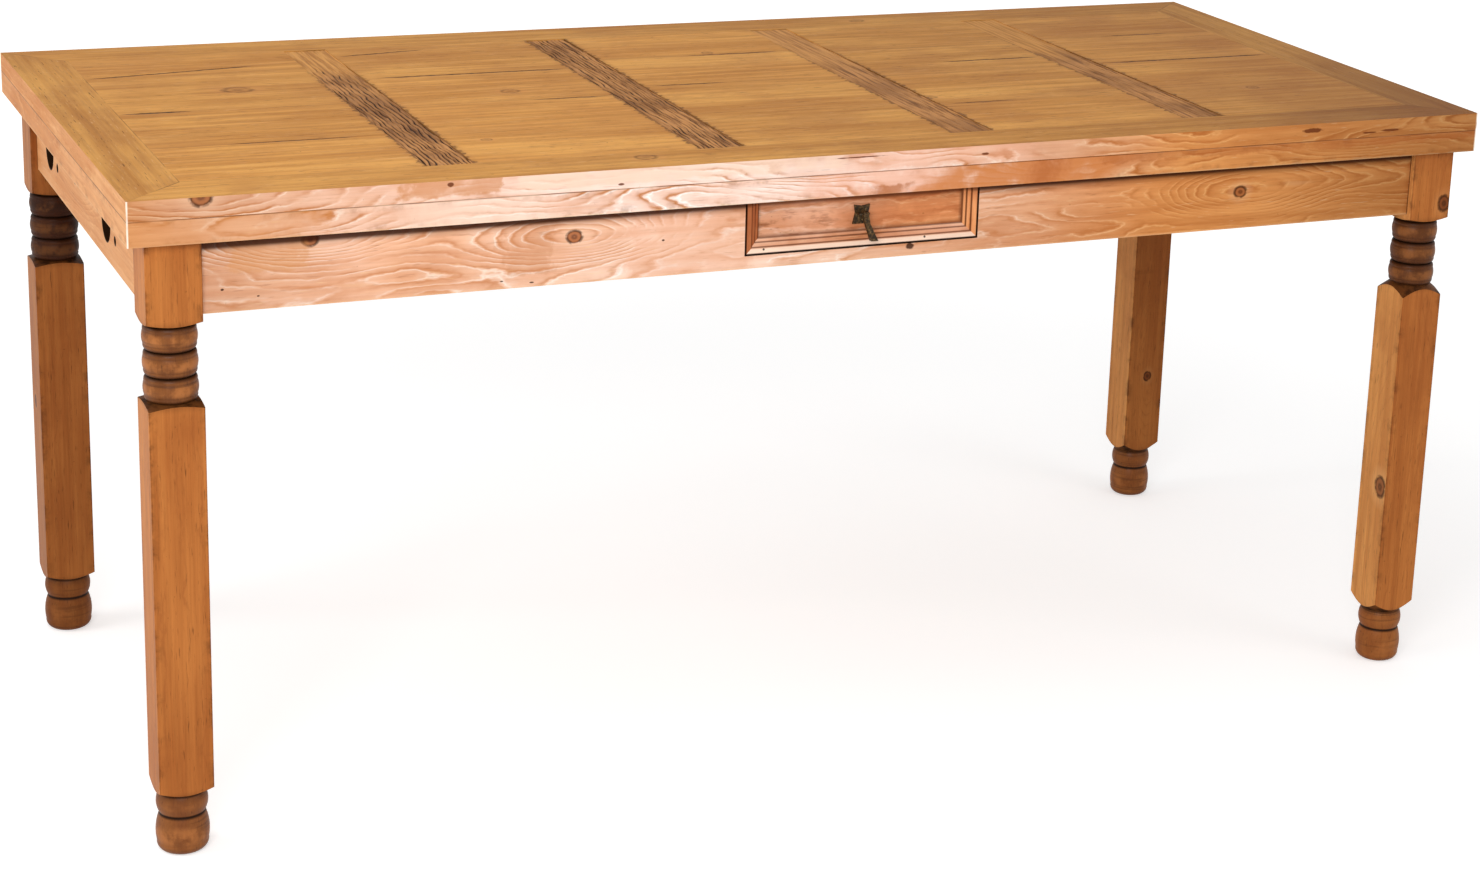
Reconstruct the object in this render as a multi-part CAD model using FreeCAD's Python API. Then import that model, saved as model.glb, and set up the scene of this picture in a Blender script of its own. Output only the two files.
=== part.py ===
"""Tavern table: framed plank top with rough cross strips, turned legs, one drawer with an iron drop pull.

Origin: on the floor under the middle of the top. +Z is up, +X runs to the right along the top's length,
and the drawer opens towards -Y. Lengths are millimetres.
"""
import FreeCAD
import Part
import math
import os

# Overall sizes
top_length = 1700.0
top_depth = 780.0
table_height = 760.0

# Top: mitred frame boards, planks in panels, rough strips between the panels, a thickening skirt, battens
board_thickness = 22.0
frame_board_width = 70.0
skirt_thickness = 28.0
skirt_width = 70.0
strip_width = 54.0
strip_count = 4
strip_reveal = 0.8
batten_width = 90.0
plank_joint_shares = (
    (0.24, 0.51, 0.83),
    (0.22, 0.46, 0.71),
    (0.27, 0.52, 0.78),
    (0.23, 0.50, 0.75),
    (0.26, 0.51, 0.77),
)

# Legs: square blocks left on a turned post
end_overhang = 20.0
front_overhang = 15.0
leg_size = 60.0
leg_edge_round = 2.0
upright_share = 0.9
front_block_height = 96.0
back_block_height = 121.0
block_shoulder = 6.0
bead_count = 3
bead_height = 28.5
bead_radius = 29.5
bead_crown = 1.3
bead_round = 6.5
round_shares = (0.72, 0.28)
groove_radius = 25.0
left_post_shoulder = 5.0
left_foot_shoulder = 9.0
right_post_shoulder = 14.0
right_foot_shoulder = 16.0
ring_height = 26.0
ring_radius = 28.5
foot_height = 46.0
foot_radius = 29.5
foot_swell_share = 0.54
foot_toe_radius = 28.4
foot_toe_height = 12.0
foot_seat_radius = 19.0

# Aprons, tenoned into the legs
apron_thickness = 22.0
apron_height = 84.0
apron_inset = 8.0
tenon_length = 26.0
tenon_thickness = 10.0
tenon_shoulder = 12.0
mortise_relief = 1.0

# Sockets in the end aprons for the bars of add-on leaves, each with a pin hole beside it
socket_radius = 25.0
socket_drop = 38.0
socket_spacing = 350.0
socket_offset = 50.0
pin_hole_radius = 5.0
pin_hole_drop = 50.0

# Corner braces with their bolts, and the glue blocks that hold the top
brace_gap = 6.0
brace_thickness = 28.0
brace_height = 56.0
bolt_radius = 4.0
bolt_clearance = 0.3
bolt_bite = 24.0
bolt_head_radius = 8.0
bolt_head_height = 5.0
block_side = 20.0
block_length = 110.0
block_spacing = 900.0

# Drawer
opening_width = 300.0
opening_sill = 15.0
drawer_gap = 2.0
drawer_top_gap = 3.0
drawer_depth = 420.0
drawer_travel_room = 0.3
panel_thickness = 18.0
moulding_width = 17.0
moulding_depth = 9.0
moulding_lip = 2.4
moulding_shares = ((0.0, 1.0), (0.42, 0.86), (0.42, 0.70), (0.72, 0.48), (0.72, 0.34))
side_thickness = 12.0
side_height = 60.0
side_setback = 2.0
drawer_bottom_thickness = 6.0
bottom_raise = 8.0
groove_depth = 5.0

# Drawer carriers
runner_height = 14.0
guide_gap = 1.0
guide_width = 16.0
guide_height = 20.0
stop_length = 18.0
stop_height = 12.0

# Iron pull
plate_width = 20.0
plate_foot_width = 23.0
plate_height = 23.0
plate_thickness = 2.4
plate_waist_share = 0.84
plate_notch_share = 0.08
plate_rise = 10.0
pivot_rise = 6.0
pivot_stand_off = 7.5
staple_radius = 1.7
staple_width = 12.0
staple_bend = 2.6
eye_radius = 4.4
eye_width = 6.0
eye_clearance = 0.25
drop_length = 30.0
drop_kick = 10.0
drop_lean = 8.5
drop_root = 5.0
drop_end = 9.0
drop_end_thickness = 6.0

# Cuts run this far past the faces that they open
overrun = 5.0

# Places worked out from the sizes above
underside = table_height - board_thickness - skirt_thickness
plank_floor = table_height - board_thickness
half_length = top_length / 2
half_depth = top_depth / 2
field_length = top_length - 2 * frame_board_width
field_depth = top_depth - 2 * frame_board_width
panel_length = (field_length - strip_count * strip_width) / (strip_count + 1)
leg_x = half_length - end_overhang - leg_size / 2
leg_y = half_depth - front_overhang - leg_size / 2
apron_floor = underside - apron_height
apron_face_x = leg_x + leg_size / 2 - apron_inset
apron_face_y = leg_y + leg_size / 2 - apron_inset
apron_back_x = apron_face_x - apron_thickness
apron_back_y = apron_face_y - apron_thickness
opening_floor = apron_floor + opening_sill
drawer_floor = opening_floor + drawer_gap
drawer_roof = underside - drawer_top_gap
drawer_half = opening_width / 2 - drawer_gap
panel_face_y = -apron_face_y + moulding_depth
panel_back_y = panel_face_y + panel_thickness
side_outer = drawer_half - side_setback
side_inner = side_outer - side_thickness
side_length = drawer_depth - panel_thickness
drawer_end_y = panel_back_y + side_length
runner_top = drawer_floor - drawer_travel_room
pivot_z = (drawer_floor + drawer_roof) / 2 + pivot_rise
pivot_y = panel_face_y - plate_thickness - pivot_stand_off


def vector(x, y, z):
    return FreeCAD.Vector(x, y, z)


def box(x0, x1, y0, y1, z0, z1):
    return Part.makeBox(x1 - x0, y1 - y0, z1 - z0, vector(x0, y0, z0))


def prism(points, direction):
    """A solid from an outline of 3-D points, pushed along a vector."""
    outline = Part.makePolygon(points + [points[0]])
    return Part.Face(outline).extrude(direction)


def flat_prism(points, z0, z1):
    """A solid from a plan outline between two heights."""
    return prism([vector(x, y, z0) for x, y in points], vector(0, 0, z1 - z0))


def mirrored_x(shape):
    return shape.mirror(vector(0, 0, 0), vector(1, 0, 0))


def mirrored_y(shape):
    return shape.mirror(vector(0, 0, 0), vector(0, 1, 0))


def save(name, shapes):
    """Write one node: a single solid, or a group of separate ones."""
    shape = shapes[0] if len(shapes) == 1 else Part.makeCompound(shapes)
    shape.exportStep("parts/" + name + ".step")


def mitred_bars(width, z0, z1):
    """Front, back, left and right bars of a mitred frame round the top's edge."""
    front = [
        (-half_length, -half_depth),
        (half_length, -half_depth),
        (half_length - width, -half_depth + width),
        (-half_length + width, -half_depth + width),
    ]
    left = [
        (-half_length, -half_depth),
        (-half_length + width, -half_depth + width),
        (-half_length + width, half_depth - width),
        (-half_length, half_depth),
    ]
    front_bar = flat_prism(front, z0, z1)
    left_bar = flat_prism(left, z0, z1)
    return front_bar, mirrored_y(front_bar), left_bar, mirrored_x(left_bar)


def make_top_frame():
    sides = ("front", "back", "left", "right")
    boards = mitred_bars(frame_board_width, plank_floor, table_height)
    skirts = mitred_bars(skirt_width, underside, plank_floor)
    for side, board, skirt in zip(sides, boards, skirts):
        save("top_frame_" + side, [board])
        save("top_skirt_" + side, [skirt])


def make_panels():
    """Five panels of lengthwise planks between the four strips."""
    for index, shares in enumerate(plank_joint_shares):
        x0 = -field_length / 2 + index * (panel_length + strip_width)
        edges = [-field_depth / 2 + share * field_depth for share in (0.0,) + shares + (1.0,)]
        planks = [
            box(x0, x0 + panel_length, y0, y1, plank_floor, table_height)
            for y0, y1 in zip(edges, edges[1:])
        ]
        save("top_planks_%d" % (index + 1), planks)


def make_strips():
    """The rough strips, a little below the planks, with a batten under each."""
    for index in range(strip_count):
        x0 = -field_length / 2 + panel_length + index * (panel_length + strip_width)
        middle = x0 + strip_width / 2
        far = field_depth / 2
        strip = box(x0, x0 + strip_width, -far, far, plank_floor, table_height - strip_reveal)
        half = batten_width / 2
        reach = half_depth - skirt_width
        batten = box(middle - half, middle + half, -reach, reach, underside, plank_floor)
        save("rough_strip_%d" % (index + 1), [strip])
        save("top_batten_%d" % (index + 1), [batten])


def arc(first, middle, last):
    points = [vector(r, 0, z) for r, z in (first, middle, last)]
    return Part.Arc(*points).toShape()


def line(first, last):
    return Part.makeLine(vector(first[0], 0, first[1]), vector(last[0], 0, last[1]))


def bead_edges(z0):
    """One full bead with rounded rims between two grooves."""
    rim = bead_radius - bead_crown
    swell = groove_radius + round_shares[0] * (rim - groove_radius)
    lift = round_shares[1] * bead_round
    z1 = z0 + bead_height
    return [
        arc((groove_radius, z0), (swell, z0 + lift), (rim, z0 + bead_round)),
        arc((rim, z0 + bead_round), (bead_radius, z0 + bead_height / 2), (rim, z1 - bead_round)),
        arc((rim, z1 - bead_round), (swell, z1 - lift), (groove_radius, z1)),
    ]


def foot_edges():
    """The bun foot with its round toe and flat seat, and the ring above it."""
    toe = (foot_toe_radius, foot_toe_height)
    swell = (foot_radius, foot_height * foot_swell_share)
    ring_swell = (ring_radius, foot_height + ring_height / 2)
    round_x = foot_seat_radius + round_shares[0] * (foot_toe_radius - foot_seat_radius)
    round_z = round_shares[1] * foot_toe_height
    return [
        line((0, 0), (foot_seat_radius, 0)),
        arc((foot_seat_radius, 0), (round_x, round_z), toe),
        arc(toe, swell, (groove_radius, foot_height)),
        arc((groove_radius, foot_height), ring_swell, (groove_radius, foot_height + ring_height)),
    ]


def leg_profile(block_height, post_shoulder, foot_shoulder):
    """Half outline of a turned leg, wider than the square where a block is left."""
    wide = leg_size
    ring_top = foot_height + ring_height
    block_floor = underside - block_height
    beads_floor = block_floor - bead_count * bead_height
    slope_run = (wide - groove_radius) / (leg_size * math.sqrt(0.5) - groove_radius)
    post_low = ring_top + foot_shoulder * slope_run
    post_high = beads_floor - post_shoulder * slope_run
    block_low = block_floor + block_shoulder * slope_run
    edges = foot_edges()
    edges += [
        line((groove_radius, ring_top), (wide, post_low)),
        line((wide, post_low), (wide, post_high)),
        line((wide, post_high), (groove_radius, beads_floor)),
    ]
    for index in range(bead_count):
        edges += bead_edges(beads_floor + index * bead_height)
    edges += [
        line((groove_radius, block_floor), (wide, block_low)),
        line((wide, block_low), (wide, underside)),
        line((wide, underside), (0, underside)),
        line((0, underside), (0, 0)),
    ]
    return Part.Wire(edges)


def square_post():
    """The leg's squared blank with softened long edges."""
    half = leg_size / 2
    post = box(-half, half, -half, half, 0, underside)
    upright = [edge for edge in post.Edges if abs(edge.tangentAt(edge.FirstParameter).z) > upright_share]
    return post.makeFillet(leg_edge_round, upright)


def tenon_box(face_y, from_x, to_x):
    """The tenon of a long apron, or its mortise, along X."""
    middle = face_y - apron_thickness / 2
    y0 = middle - tenon_thickness / 2
    y1 = middle + tenon_thickness / 2
    return box(from_x, to_x, y0, y1, apron_floor + tenon_shoulder, underside - tenon_shoulder)


def end_tenon_box(face_x, from_y, to_y):
    """The tenon of an end apron, or its mortise, along Y."""
    middle = face_x - apron_thickness / 2
    x0 = middle - tenon_thickness / 2
    x1 = middle + tenon_thickness / 2
    return box(x0, x1, from_y, to_y, apron_floor + tenon_shoulder, underside - tenon_shoulder)


def brace_inner():
    """Distance of the brace's two long sides from the aprons' inner corner, measured along either apron."""
    poke = max(apron_back_x - leg_x + leg_size / 2, apron_back_y - leg_y + leg_size / 2)
    near = 2 * poke + brace_gap
    return near, near + brace_thickness * math.sqrt(2)


def bolt_height():
    return underside - brace_height / 2


def bolt_axis():
    """Start on the brace's inner side and direction into the leg, for the corner at +X +Y."""
    near, far = brace_inner()
    start = vector(apron_back_x - far / 2, apron_back_y - far / 2, bolt_height())
    direction = vector(math.sqrt(0.5), math.sqrt(0.5), 0)
    return start, direction


def bolt_reach():
    """From the brace's inner side to the bolt's tip in the leg."""
    start, direction = bolt_axis()
    corner_x = leg_x - leg_size / 2
    corner_y = leg_y - leg_size / 2
    run = (corner_x - start.x) * direction.x + (corner_y - start.y) * direction.y
    return run + bolt_bite


def bolt_hole():
    start, direction = bolt_axis()
    back = start - direction * overrun
    length = bolt_reach() + overrun + mortise_relief
    return Part.makeCylinder(bolt_radius + bolt_clearance, length, back, direction)


def jointed_leg(block_height, post_shoulder, foot_shoulder):
    """A leg in the back right corner: the turned outline cut square, with two mortises and a bolt hole."""
    outline = Part.Face(leg_profile(block_height, post_shoulder, foot_shoulder))
    turned = outline.revolve(vector(0, 0, 0), vector(0, 0, 1), 360)
    leg = turned.common(square_post()).Solids[0]
    leg.translate(vector(leg_x, leg_y, 0))
    inner_x = leg_x - leg_size / 2
    inner_y = leg_y - leg_size / 2
    mortise = tenon_box(apron_face_y, inner_x - overrun, inner_x + tenon_length + mortise_relief)
    end_mortise = end_tenon_box(apron_face_x, inner_y - overrun, inner_y + tenon_length + mortise_relief)
    return leg.cut(mortise).cut(end_mortise).cut(bolt_hole())


def make_legs():
    """Four legs turned by hand: the back pair has longer blocks, the left pair flatter shoulders."""
    for row, block_height in (("front", front_block_height), ("back", back_block_height)):
        right = jointed_leg(block_height, right_post_shoulder, right_foot_shoulder)
        left = mirrored_x(jointed_leg(block_height, left_post_shoulder, left_foot_shoulder))
        for side, leg in (("left", left), ("right", right)):
            save("leg_%s_%s" % (row, side), [mirrored_y(leg) if row == "front" else leg])


def make_long_aprons():
    """Back apron plain, front apron notched for the drawer."""
    inner_x = leg_x - leg_size / 2
    board = box(-inner_x, inner_x, apron_back_y, apron_face_y, apron_floor, underside)
    tenon = tenon_box(apron_face_y, inner_x, inner_x + tenon_length)
    back = board.fuse([tenon, mirrored_x(tenon)])
    save("apron_back", [back])
    half = opening_width / 2
    reach = apron_face_y + overrun
    notch = box(-half, half, -reach, -apron_back_y + overrun, opening_floor, underside + overrun)
    save("apron_front", [mirrored_y(back).cut(notch)])


def cross_hole(radius, y, drop):
    """A round hole through the right end apron."""
    start = vector(apron_back_x - overrun, y, underside - drop)
    return Part.makeCylinder(radius, apron_thickness + 2 * overrun, start, vector(1, 0, 0))


def make_end_aprons():
    """End aprons, each with two leaf sockets and the pin holes beside them."""
    inner_y = leg_y - leg_size / 2
    board = box(apron_back_x, apron_face_x, -inner_y, inner_y, apron_floor, underside)
    tenon = end_tenon_box(apron_face_x, inner_y, inner_y + tenon_length)
    apron = board.fuse([tenon, mirrored_y(tenon)])
    for y in (-socket_spacing / 2, socket_spacing / 2):
        apron = apron.cut(cross_hole(socket_radius, y + socket_offset, socket_drop))
        apron = apron.cut(cross_hole(pin_hole_radius, y, pin_hole_drop))
    save("apron_right", [apron])
    save("apron_left", [mirrored_x(apron)])


def make_braces():
    """Diagonal corner braces and the bolts that draw the legs in."""
    near, far = brace_inner()
    plan = [
        (apron_back_x - near, apron_back_y),
        (apron_back_x - far, apron_back_y),
        (apron_back_x, apron_back_y - far),
        (apron_back_x, apron_back_y - near),
    ]
    brace = flat_prism(plan, underside - brace_height, underside).cut(bolt_hole())
    start, direction = bolt_axis()
    shank = Part.makeCylinder(bolt_radius, bolt_reach(), start, direction)
    head_start = start - direction * bolt_head_height
    head = Part.makeCylinder(bolt_head_radius, bolt_head_height, head_start, direction)
    bolt = shank.fuse(head).removeSplitter()
    save("corner_brace_back_right", [brace])
    save("corner_brace_back_left", [mirrored_x(brace)])
    save("corner_brace_front_right", [mirrored_y(brace)])
    save("corner_brace_front_left", [mirrored_x(mirrored_y(brace))])
    save("corner_bolts", [bolt, mirrored_x(bolt), mirrored_y(bolt), mirrored_x(mirrored_y(bolt))])


def make_glue_blocks():
    """Blocks in the angle between the aprons and the skirt, which hold the top down."""
    blocks = []
    floor = underside - block_side
    for middle in (-block_spacing / 2, block_spacing / 2):
        x0 = middle - block_length / 2
        long_block = box(x0, x0 + block_length, apron_back_y - block_side, apron_back_y, floor, underside)
        blocks += [long_block, mirrored_y(long_block)]
    half = block_length / 2
    end_block = box(apron_back_x - block_side, apron_back_x, -half, half, floor, underside)
    blocks += [end_block, mirrored_x(end_block)]
    save("top_glue_blocks", blocks)


def moulding_points():
    """Section of the moulding: (distance in from the drawer's edge, height over the panel)."""
    points = [(0, 0)]
    points += [(u * moulding_width, v * moulding_depth) for u, v in moulding_shares]
    points += [(moulding_width, moulding_lip), (moulding_width, 0)]
    return points


def make_drawer_front():
    """The panel and its stepped moulding on three sides, mitred at the lower corners."""
    panel = box(-drawer_half, drawer_half, panel_face_y, panel_back_y, drawer_floor, drawer_roof)
    slot_floor = drawer_floor + bottom_raise
    slot_top = slot_floor + drawer_bottom_thickness
    slot_y = panel_back_y - groove_depth
    slot = box(-side_inner, side_inner, slot_y, panel_back_y + overrun, slot_floor, slot_top)
    save("drawer_front", [panel.cut(slot)])
    section = [vector(-drawer_half, panel_face_y - v, drawer_floor + u) for u, v in moulding_points()]
    rail = prism(section, vector(2 * drawer_half, 0, 0))
    section = [vector(-drawer_half + u, panel_face_y - v, drawer_floor) for u, v in moulding_points()]
    stile = prism(section, vector(0, 0, drawer_roof - drawer_floor))
    rise = drawer_roof - drawer_floor
    front = panel_face_y - moulding_depth - overrun
    through = vector(0, moulding_depth + 2 * overrun, 0)
    rail_plan = [
        vector(-drawer_half, front, drawer_floor),
        vector(drawer_half, front, drawer_floor),
        vector(drawer_half - moulding_width, front, drawer_floor + moulding_width),
        vector(-drawer_half + moulding_width, front, drawer_floor + moulding_width),
    ]
    stile_plan = [
        vector(-drawer_half, front, drawer_floor),
        vector(-drawer_half + moulding_width, front, drawer_floor + moulding_width),
        vector(-drawer_half + moulding_width, front, drawer_floor + rise),
        vector(-drawer_half, front, drawer_floor + rise),
    ]
    left = stile.common(prism(stile_plan, through)).Solids[0]
    save("drawer_moulding_bottom", [rail.common(prism(rail_plan, through)).Solids[0]])
    save("drawer_moulding_left", [left])
    save("drawer_moulding_right", [mirrored_x(left)])


def make_drawer_box():
    """Grooved sides, a back between them and a thin bottom slid into the grooves."""
    side_roof = drawer_floor + side_height
    slot_floor = drawer_floor + bottom_raise
    slot_top = slot_floor + drawer_bottom_thickness
    side = box(side_inner, side_outer, panel_back_y, drawer_end_y, drawer_floor, side_roof)
    reach = side_inner + groove_depth
    groove_start = panel_back_y - overrun
    groove = box(side_inner - overrun, reach, groove_start, drawer_end_y + overrun, slot_floor, slot_top)
    side = side.cut(groove)
    bottom = box(-reach, reach, panel_back_y, drawer_end_y, slot_floor, slot_top)
    tongue = box(-side_inner, side_inner, panel_back_y - groove_depth, panel_back_y, slot_floor, slot_top)
    back = box(-side_inner, side_inner, drawer_end_y - side_thickness, drawer_end_y, slot_top, side_roof)
    save("drawer_side_right", [side])
    save("drawer_side_left", [mirrored_x(side)])
    save("drawer_back", [back])
    save("drawer_bottom", [bottom.fuse(tongue).removeSplitter()])


def make_carriers():
    """Runners from apron to apron under the drawer's sides, with guides beside them and stops behind."""
    guide_x = side_outer + guide_gap
    outer = guide_x + guide_width
    runner_floor = runner_top - runner_height
    runner = box(side_inner, outer, -apron_back_y, apron_back_y, runner_floor, runner_top)
    guide_y = panel_back_y + drawer_gap
    guide = box(guide_x, outer, guide_y, apron_back_y, runner_top, runner_top + guide_height)
    stop_y = drawer_end_y + drawer_travel_room
    stop = box(side_inner, side_outer, stop_y, stop_y + stop_length, runner_top, runner_top + stop_height)
    save("drawer_runner_right", [runner])
    save("drawer_runner_left", [mirrored_x(runner)])
    save("drawer_guide_right", [guide])
    save("drawer_guide_left", [mirrored_x(guide)])
    save("drawer_stops", [stop, mirrored_x(stop)])


def make_pull_plate():
    """Forged plate with a waist and a split, flared top."""
    half = plate_width / 2
    foot_half = plate_foot_width / 2
    waist = half * plate_waist_share
    z0 = pivot_z + plate_rise - plate_height
    z1 = pivot_z + plate_rise
    notch = z1 - plate_height * plate_notch_share
    left = [(-foot_half, z0), (-waist, pivot_z), (-half, z1)]
    right = [(half, z1), (waist, pivot_z), (foot_half, z0)]
    outline = left + [(0, notch)] + right
    plate = prism([vector(x, panel_face_y, z) for x, z in outline], vector(0, -plate_thickness, 0))
    save("pull_plate", [plate])


def make_pull_staple():
    """Bent wire staple: two prongs on the plate and the bar that the drop hangs from."""
    half = staple_width / 2
    root = panel_face_y - plate_thickness
    bend = staple_bend
    corner = bend * (1 - math.sqrt(0.5))
    path = [
        Part.makeLine(vector(-half, root, pivot_z), vector(-half, pivot_y + bend, pivot_z)),
        Part.Arc(vector(-half, pivot_y + bend, pivot_z), vector(-half + corner, pivot_y + corner, pivot_z),
                 vector(-half + bend, pivot_y, pivot_z)).toShape(),
        Part.makeLine(vector(-half + bend, pivot_y, pivot_z), vector(half - bend, pivot_y, pivot_z)),
        Part.Arc(vector(half - bend, pivot_y, pivot_z), vector(half - corner, pivot_y + corner, pivot_z),
                 vector(half, pivot_y + bend, pivot_z)).toShape(),
        Part.makeLine(vector(half, pivot_y + bend, pivot_z), vector(half, root, pivot_z)),
    ]
    ring = Part.Wire(Part.makeCircle(staple_radius, path[0].Vertexes[0].Point, vector(0, 1, 0)))
    staple = Part.Wire(path).makePipeShell([ring], True, False)
    save("pull_staple", [staple])


def drop_section(z_drop, y_shift, x_shift, width, thickness):
    """One level outline of the drop bar, below the pivot."""
    x0 = x_shift - width / 2
    y0 = pivot_y - y_shift - thickness / 2
    z = pivot_z - z_drop
    corners = [(x0, y0), (x0 + width, y0), (x0 + width, y0 + thickness), (x0, y0 + thickness)]
    points = [vector(x, y, z) for x, y in corners]
    return Part.makePolygon(points + [points[0]])


def make_pull_drop():
    """Tapered drop with an eye round the staple's bar; its lower end stands out from the drawer."""
    eye_start = vector(-eye_width / 2, pivot_y, pivot_z)
    eye = Part.makeCylinder(eye_radius, eye_width, eye_start, vector(1, 0, 0))
    start = (staple_radius + eye_radius) / 2
    bar = Part.makeLoft([
        drop_section(start, 0, 0, drop_root, drop_root),
        drop_section(drop_length, drop_kick, drop_lean, drop_end, drop_end_thickness),
    ], True, True)
    bore = Part.makeCylinder(staple_radius + eye_clearance, eye_width + 2 * overrun,
                             vector(-eye_width / 2 - overrun, pivot_y, pivot_z), vector(1, 0, 0))
    save("pull_drop", [eye.fuse(bar).cut(bore).removeSplitter()])


def main():
    os.makedirs("parts", exist_ok=True)
    make_top_frame()
    make_panels()
    make_strips()
    make_legs()
    make_long_aprons()
    make_end_aprons()
    make_braces()
    make_glue_blocks()
    make_drawer_front()
    make_drawer_box()
    make_carriers()
    make_pull_plate()
    make_pull_staple()
    make_pull_drop()


main()
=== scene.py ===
"""Looks of the tavern table: waxed pine with grain, knots and wear, weathered strips and forged iron."""
import math

import bpy
from mathutils import Matrix, Vector, noise


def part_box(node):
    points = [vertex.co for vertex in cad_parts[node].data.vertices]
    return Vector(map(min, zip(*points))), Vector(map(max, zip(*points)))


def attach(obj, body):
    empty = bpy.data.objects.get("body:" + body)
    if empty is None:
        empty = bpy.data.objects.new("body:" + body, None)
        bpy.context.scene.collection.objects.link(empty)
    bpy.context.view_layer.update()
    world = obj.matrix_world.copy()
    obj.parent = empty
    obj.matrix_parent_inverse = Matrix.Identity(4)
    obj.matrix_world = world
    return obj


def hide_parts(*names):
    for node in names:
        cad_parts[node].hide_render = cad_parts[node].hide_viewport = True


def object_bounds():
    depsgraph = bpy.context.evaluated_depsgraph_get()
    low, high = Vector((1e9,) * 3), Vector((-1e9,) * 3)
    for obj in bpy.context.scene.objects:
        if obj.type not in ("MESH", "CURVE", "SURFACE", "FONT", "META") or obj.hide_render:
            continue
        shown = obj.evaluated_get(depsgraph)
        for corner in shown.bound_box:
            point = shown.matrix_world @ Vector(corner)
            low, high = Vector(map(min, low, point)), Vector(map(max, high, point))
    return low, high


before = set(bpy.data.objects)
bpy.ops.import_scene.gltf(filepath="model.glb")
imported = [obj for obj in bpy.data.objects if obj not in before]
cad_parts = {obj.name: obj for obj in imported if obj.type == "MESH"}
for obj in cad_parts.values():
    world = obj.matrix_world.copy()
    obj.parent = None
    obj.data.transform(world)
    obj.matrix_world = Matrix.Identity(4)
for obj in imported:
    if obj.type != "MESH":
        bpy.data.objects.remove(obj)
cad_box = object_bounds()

bl_info = {
    "name": "Tavern Table Looks",
    "version": (1, 0, 0),
    "blender": (4, 5, 0),
    "location": "3D View > Sidebar > Table",
    "description": "Dresses the tavern table with pine, weathered wood and iron, and sets its stage",
    "category": "Object",
}

LEGS = ("leg_front_left", "leg_front_right", "leg_back_left", "leg_back_right")
SIDES = ("front", "back", "left", "right")
AXES = {"x": 0, "y": 1, "z": 2}
GRAIN_RELIEF = 0.0006
CRACK_DEPTH = 3.0
ROUGH_SPREAD = 0.24
KNOT_SWIRL = 7.0
# Widths of softened edges, and seeds that set the grain of the pieces apart
BEVEL = {"planks": 0.0004, "frame": 0.0012, "skirt": 0.0014, "apron": 0.0010, "panel": 0.0006, "inner": 0.0008}
SEED = {"frame": 5.0, "edge": 9.0, "skirt": 12.0, "apron": 20.0, "leg": 30.0, "panel": 44.0, "moulding": 46.0,
        "box": 50.0, "inner": 60.0}


def srgb(red, green, blue):
    """A screen colour of 0 to 255 as a linear shader colour."""
    parts = [value / 255 for value in (red, green, blue)]
    linear = [v / 12.92 if v <= 0.04045 else ((v + 0.055) / 1.055) ** 2.4 for v in parts]
    return (*linear, 1.0)


def corners_of(node):
    low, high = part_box(node)
    return Vector(low), Vector(high)


def size_of(node):
    low, high = corners_of(node)
    return high - low


def centre_of(node):
    low, high = corners_of(node)
    return (low + high) / 2


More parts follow.
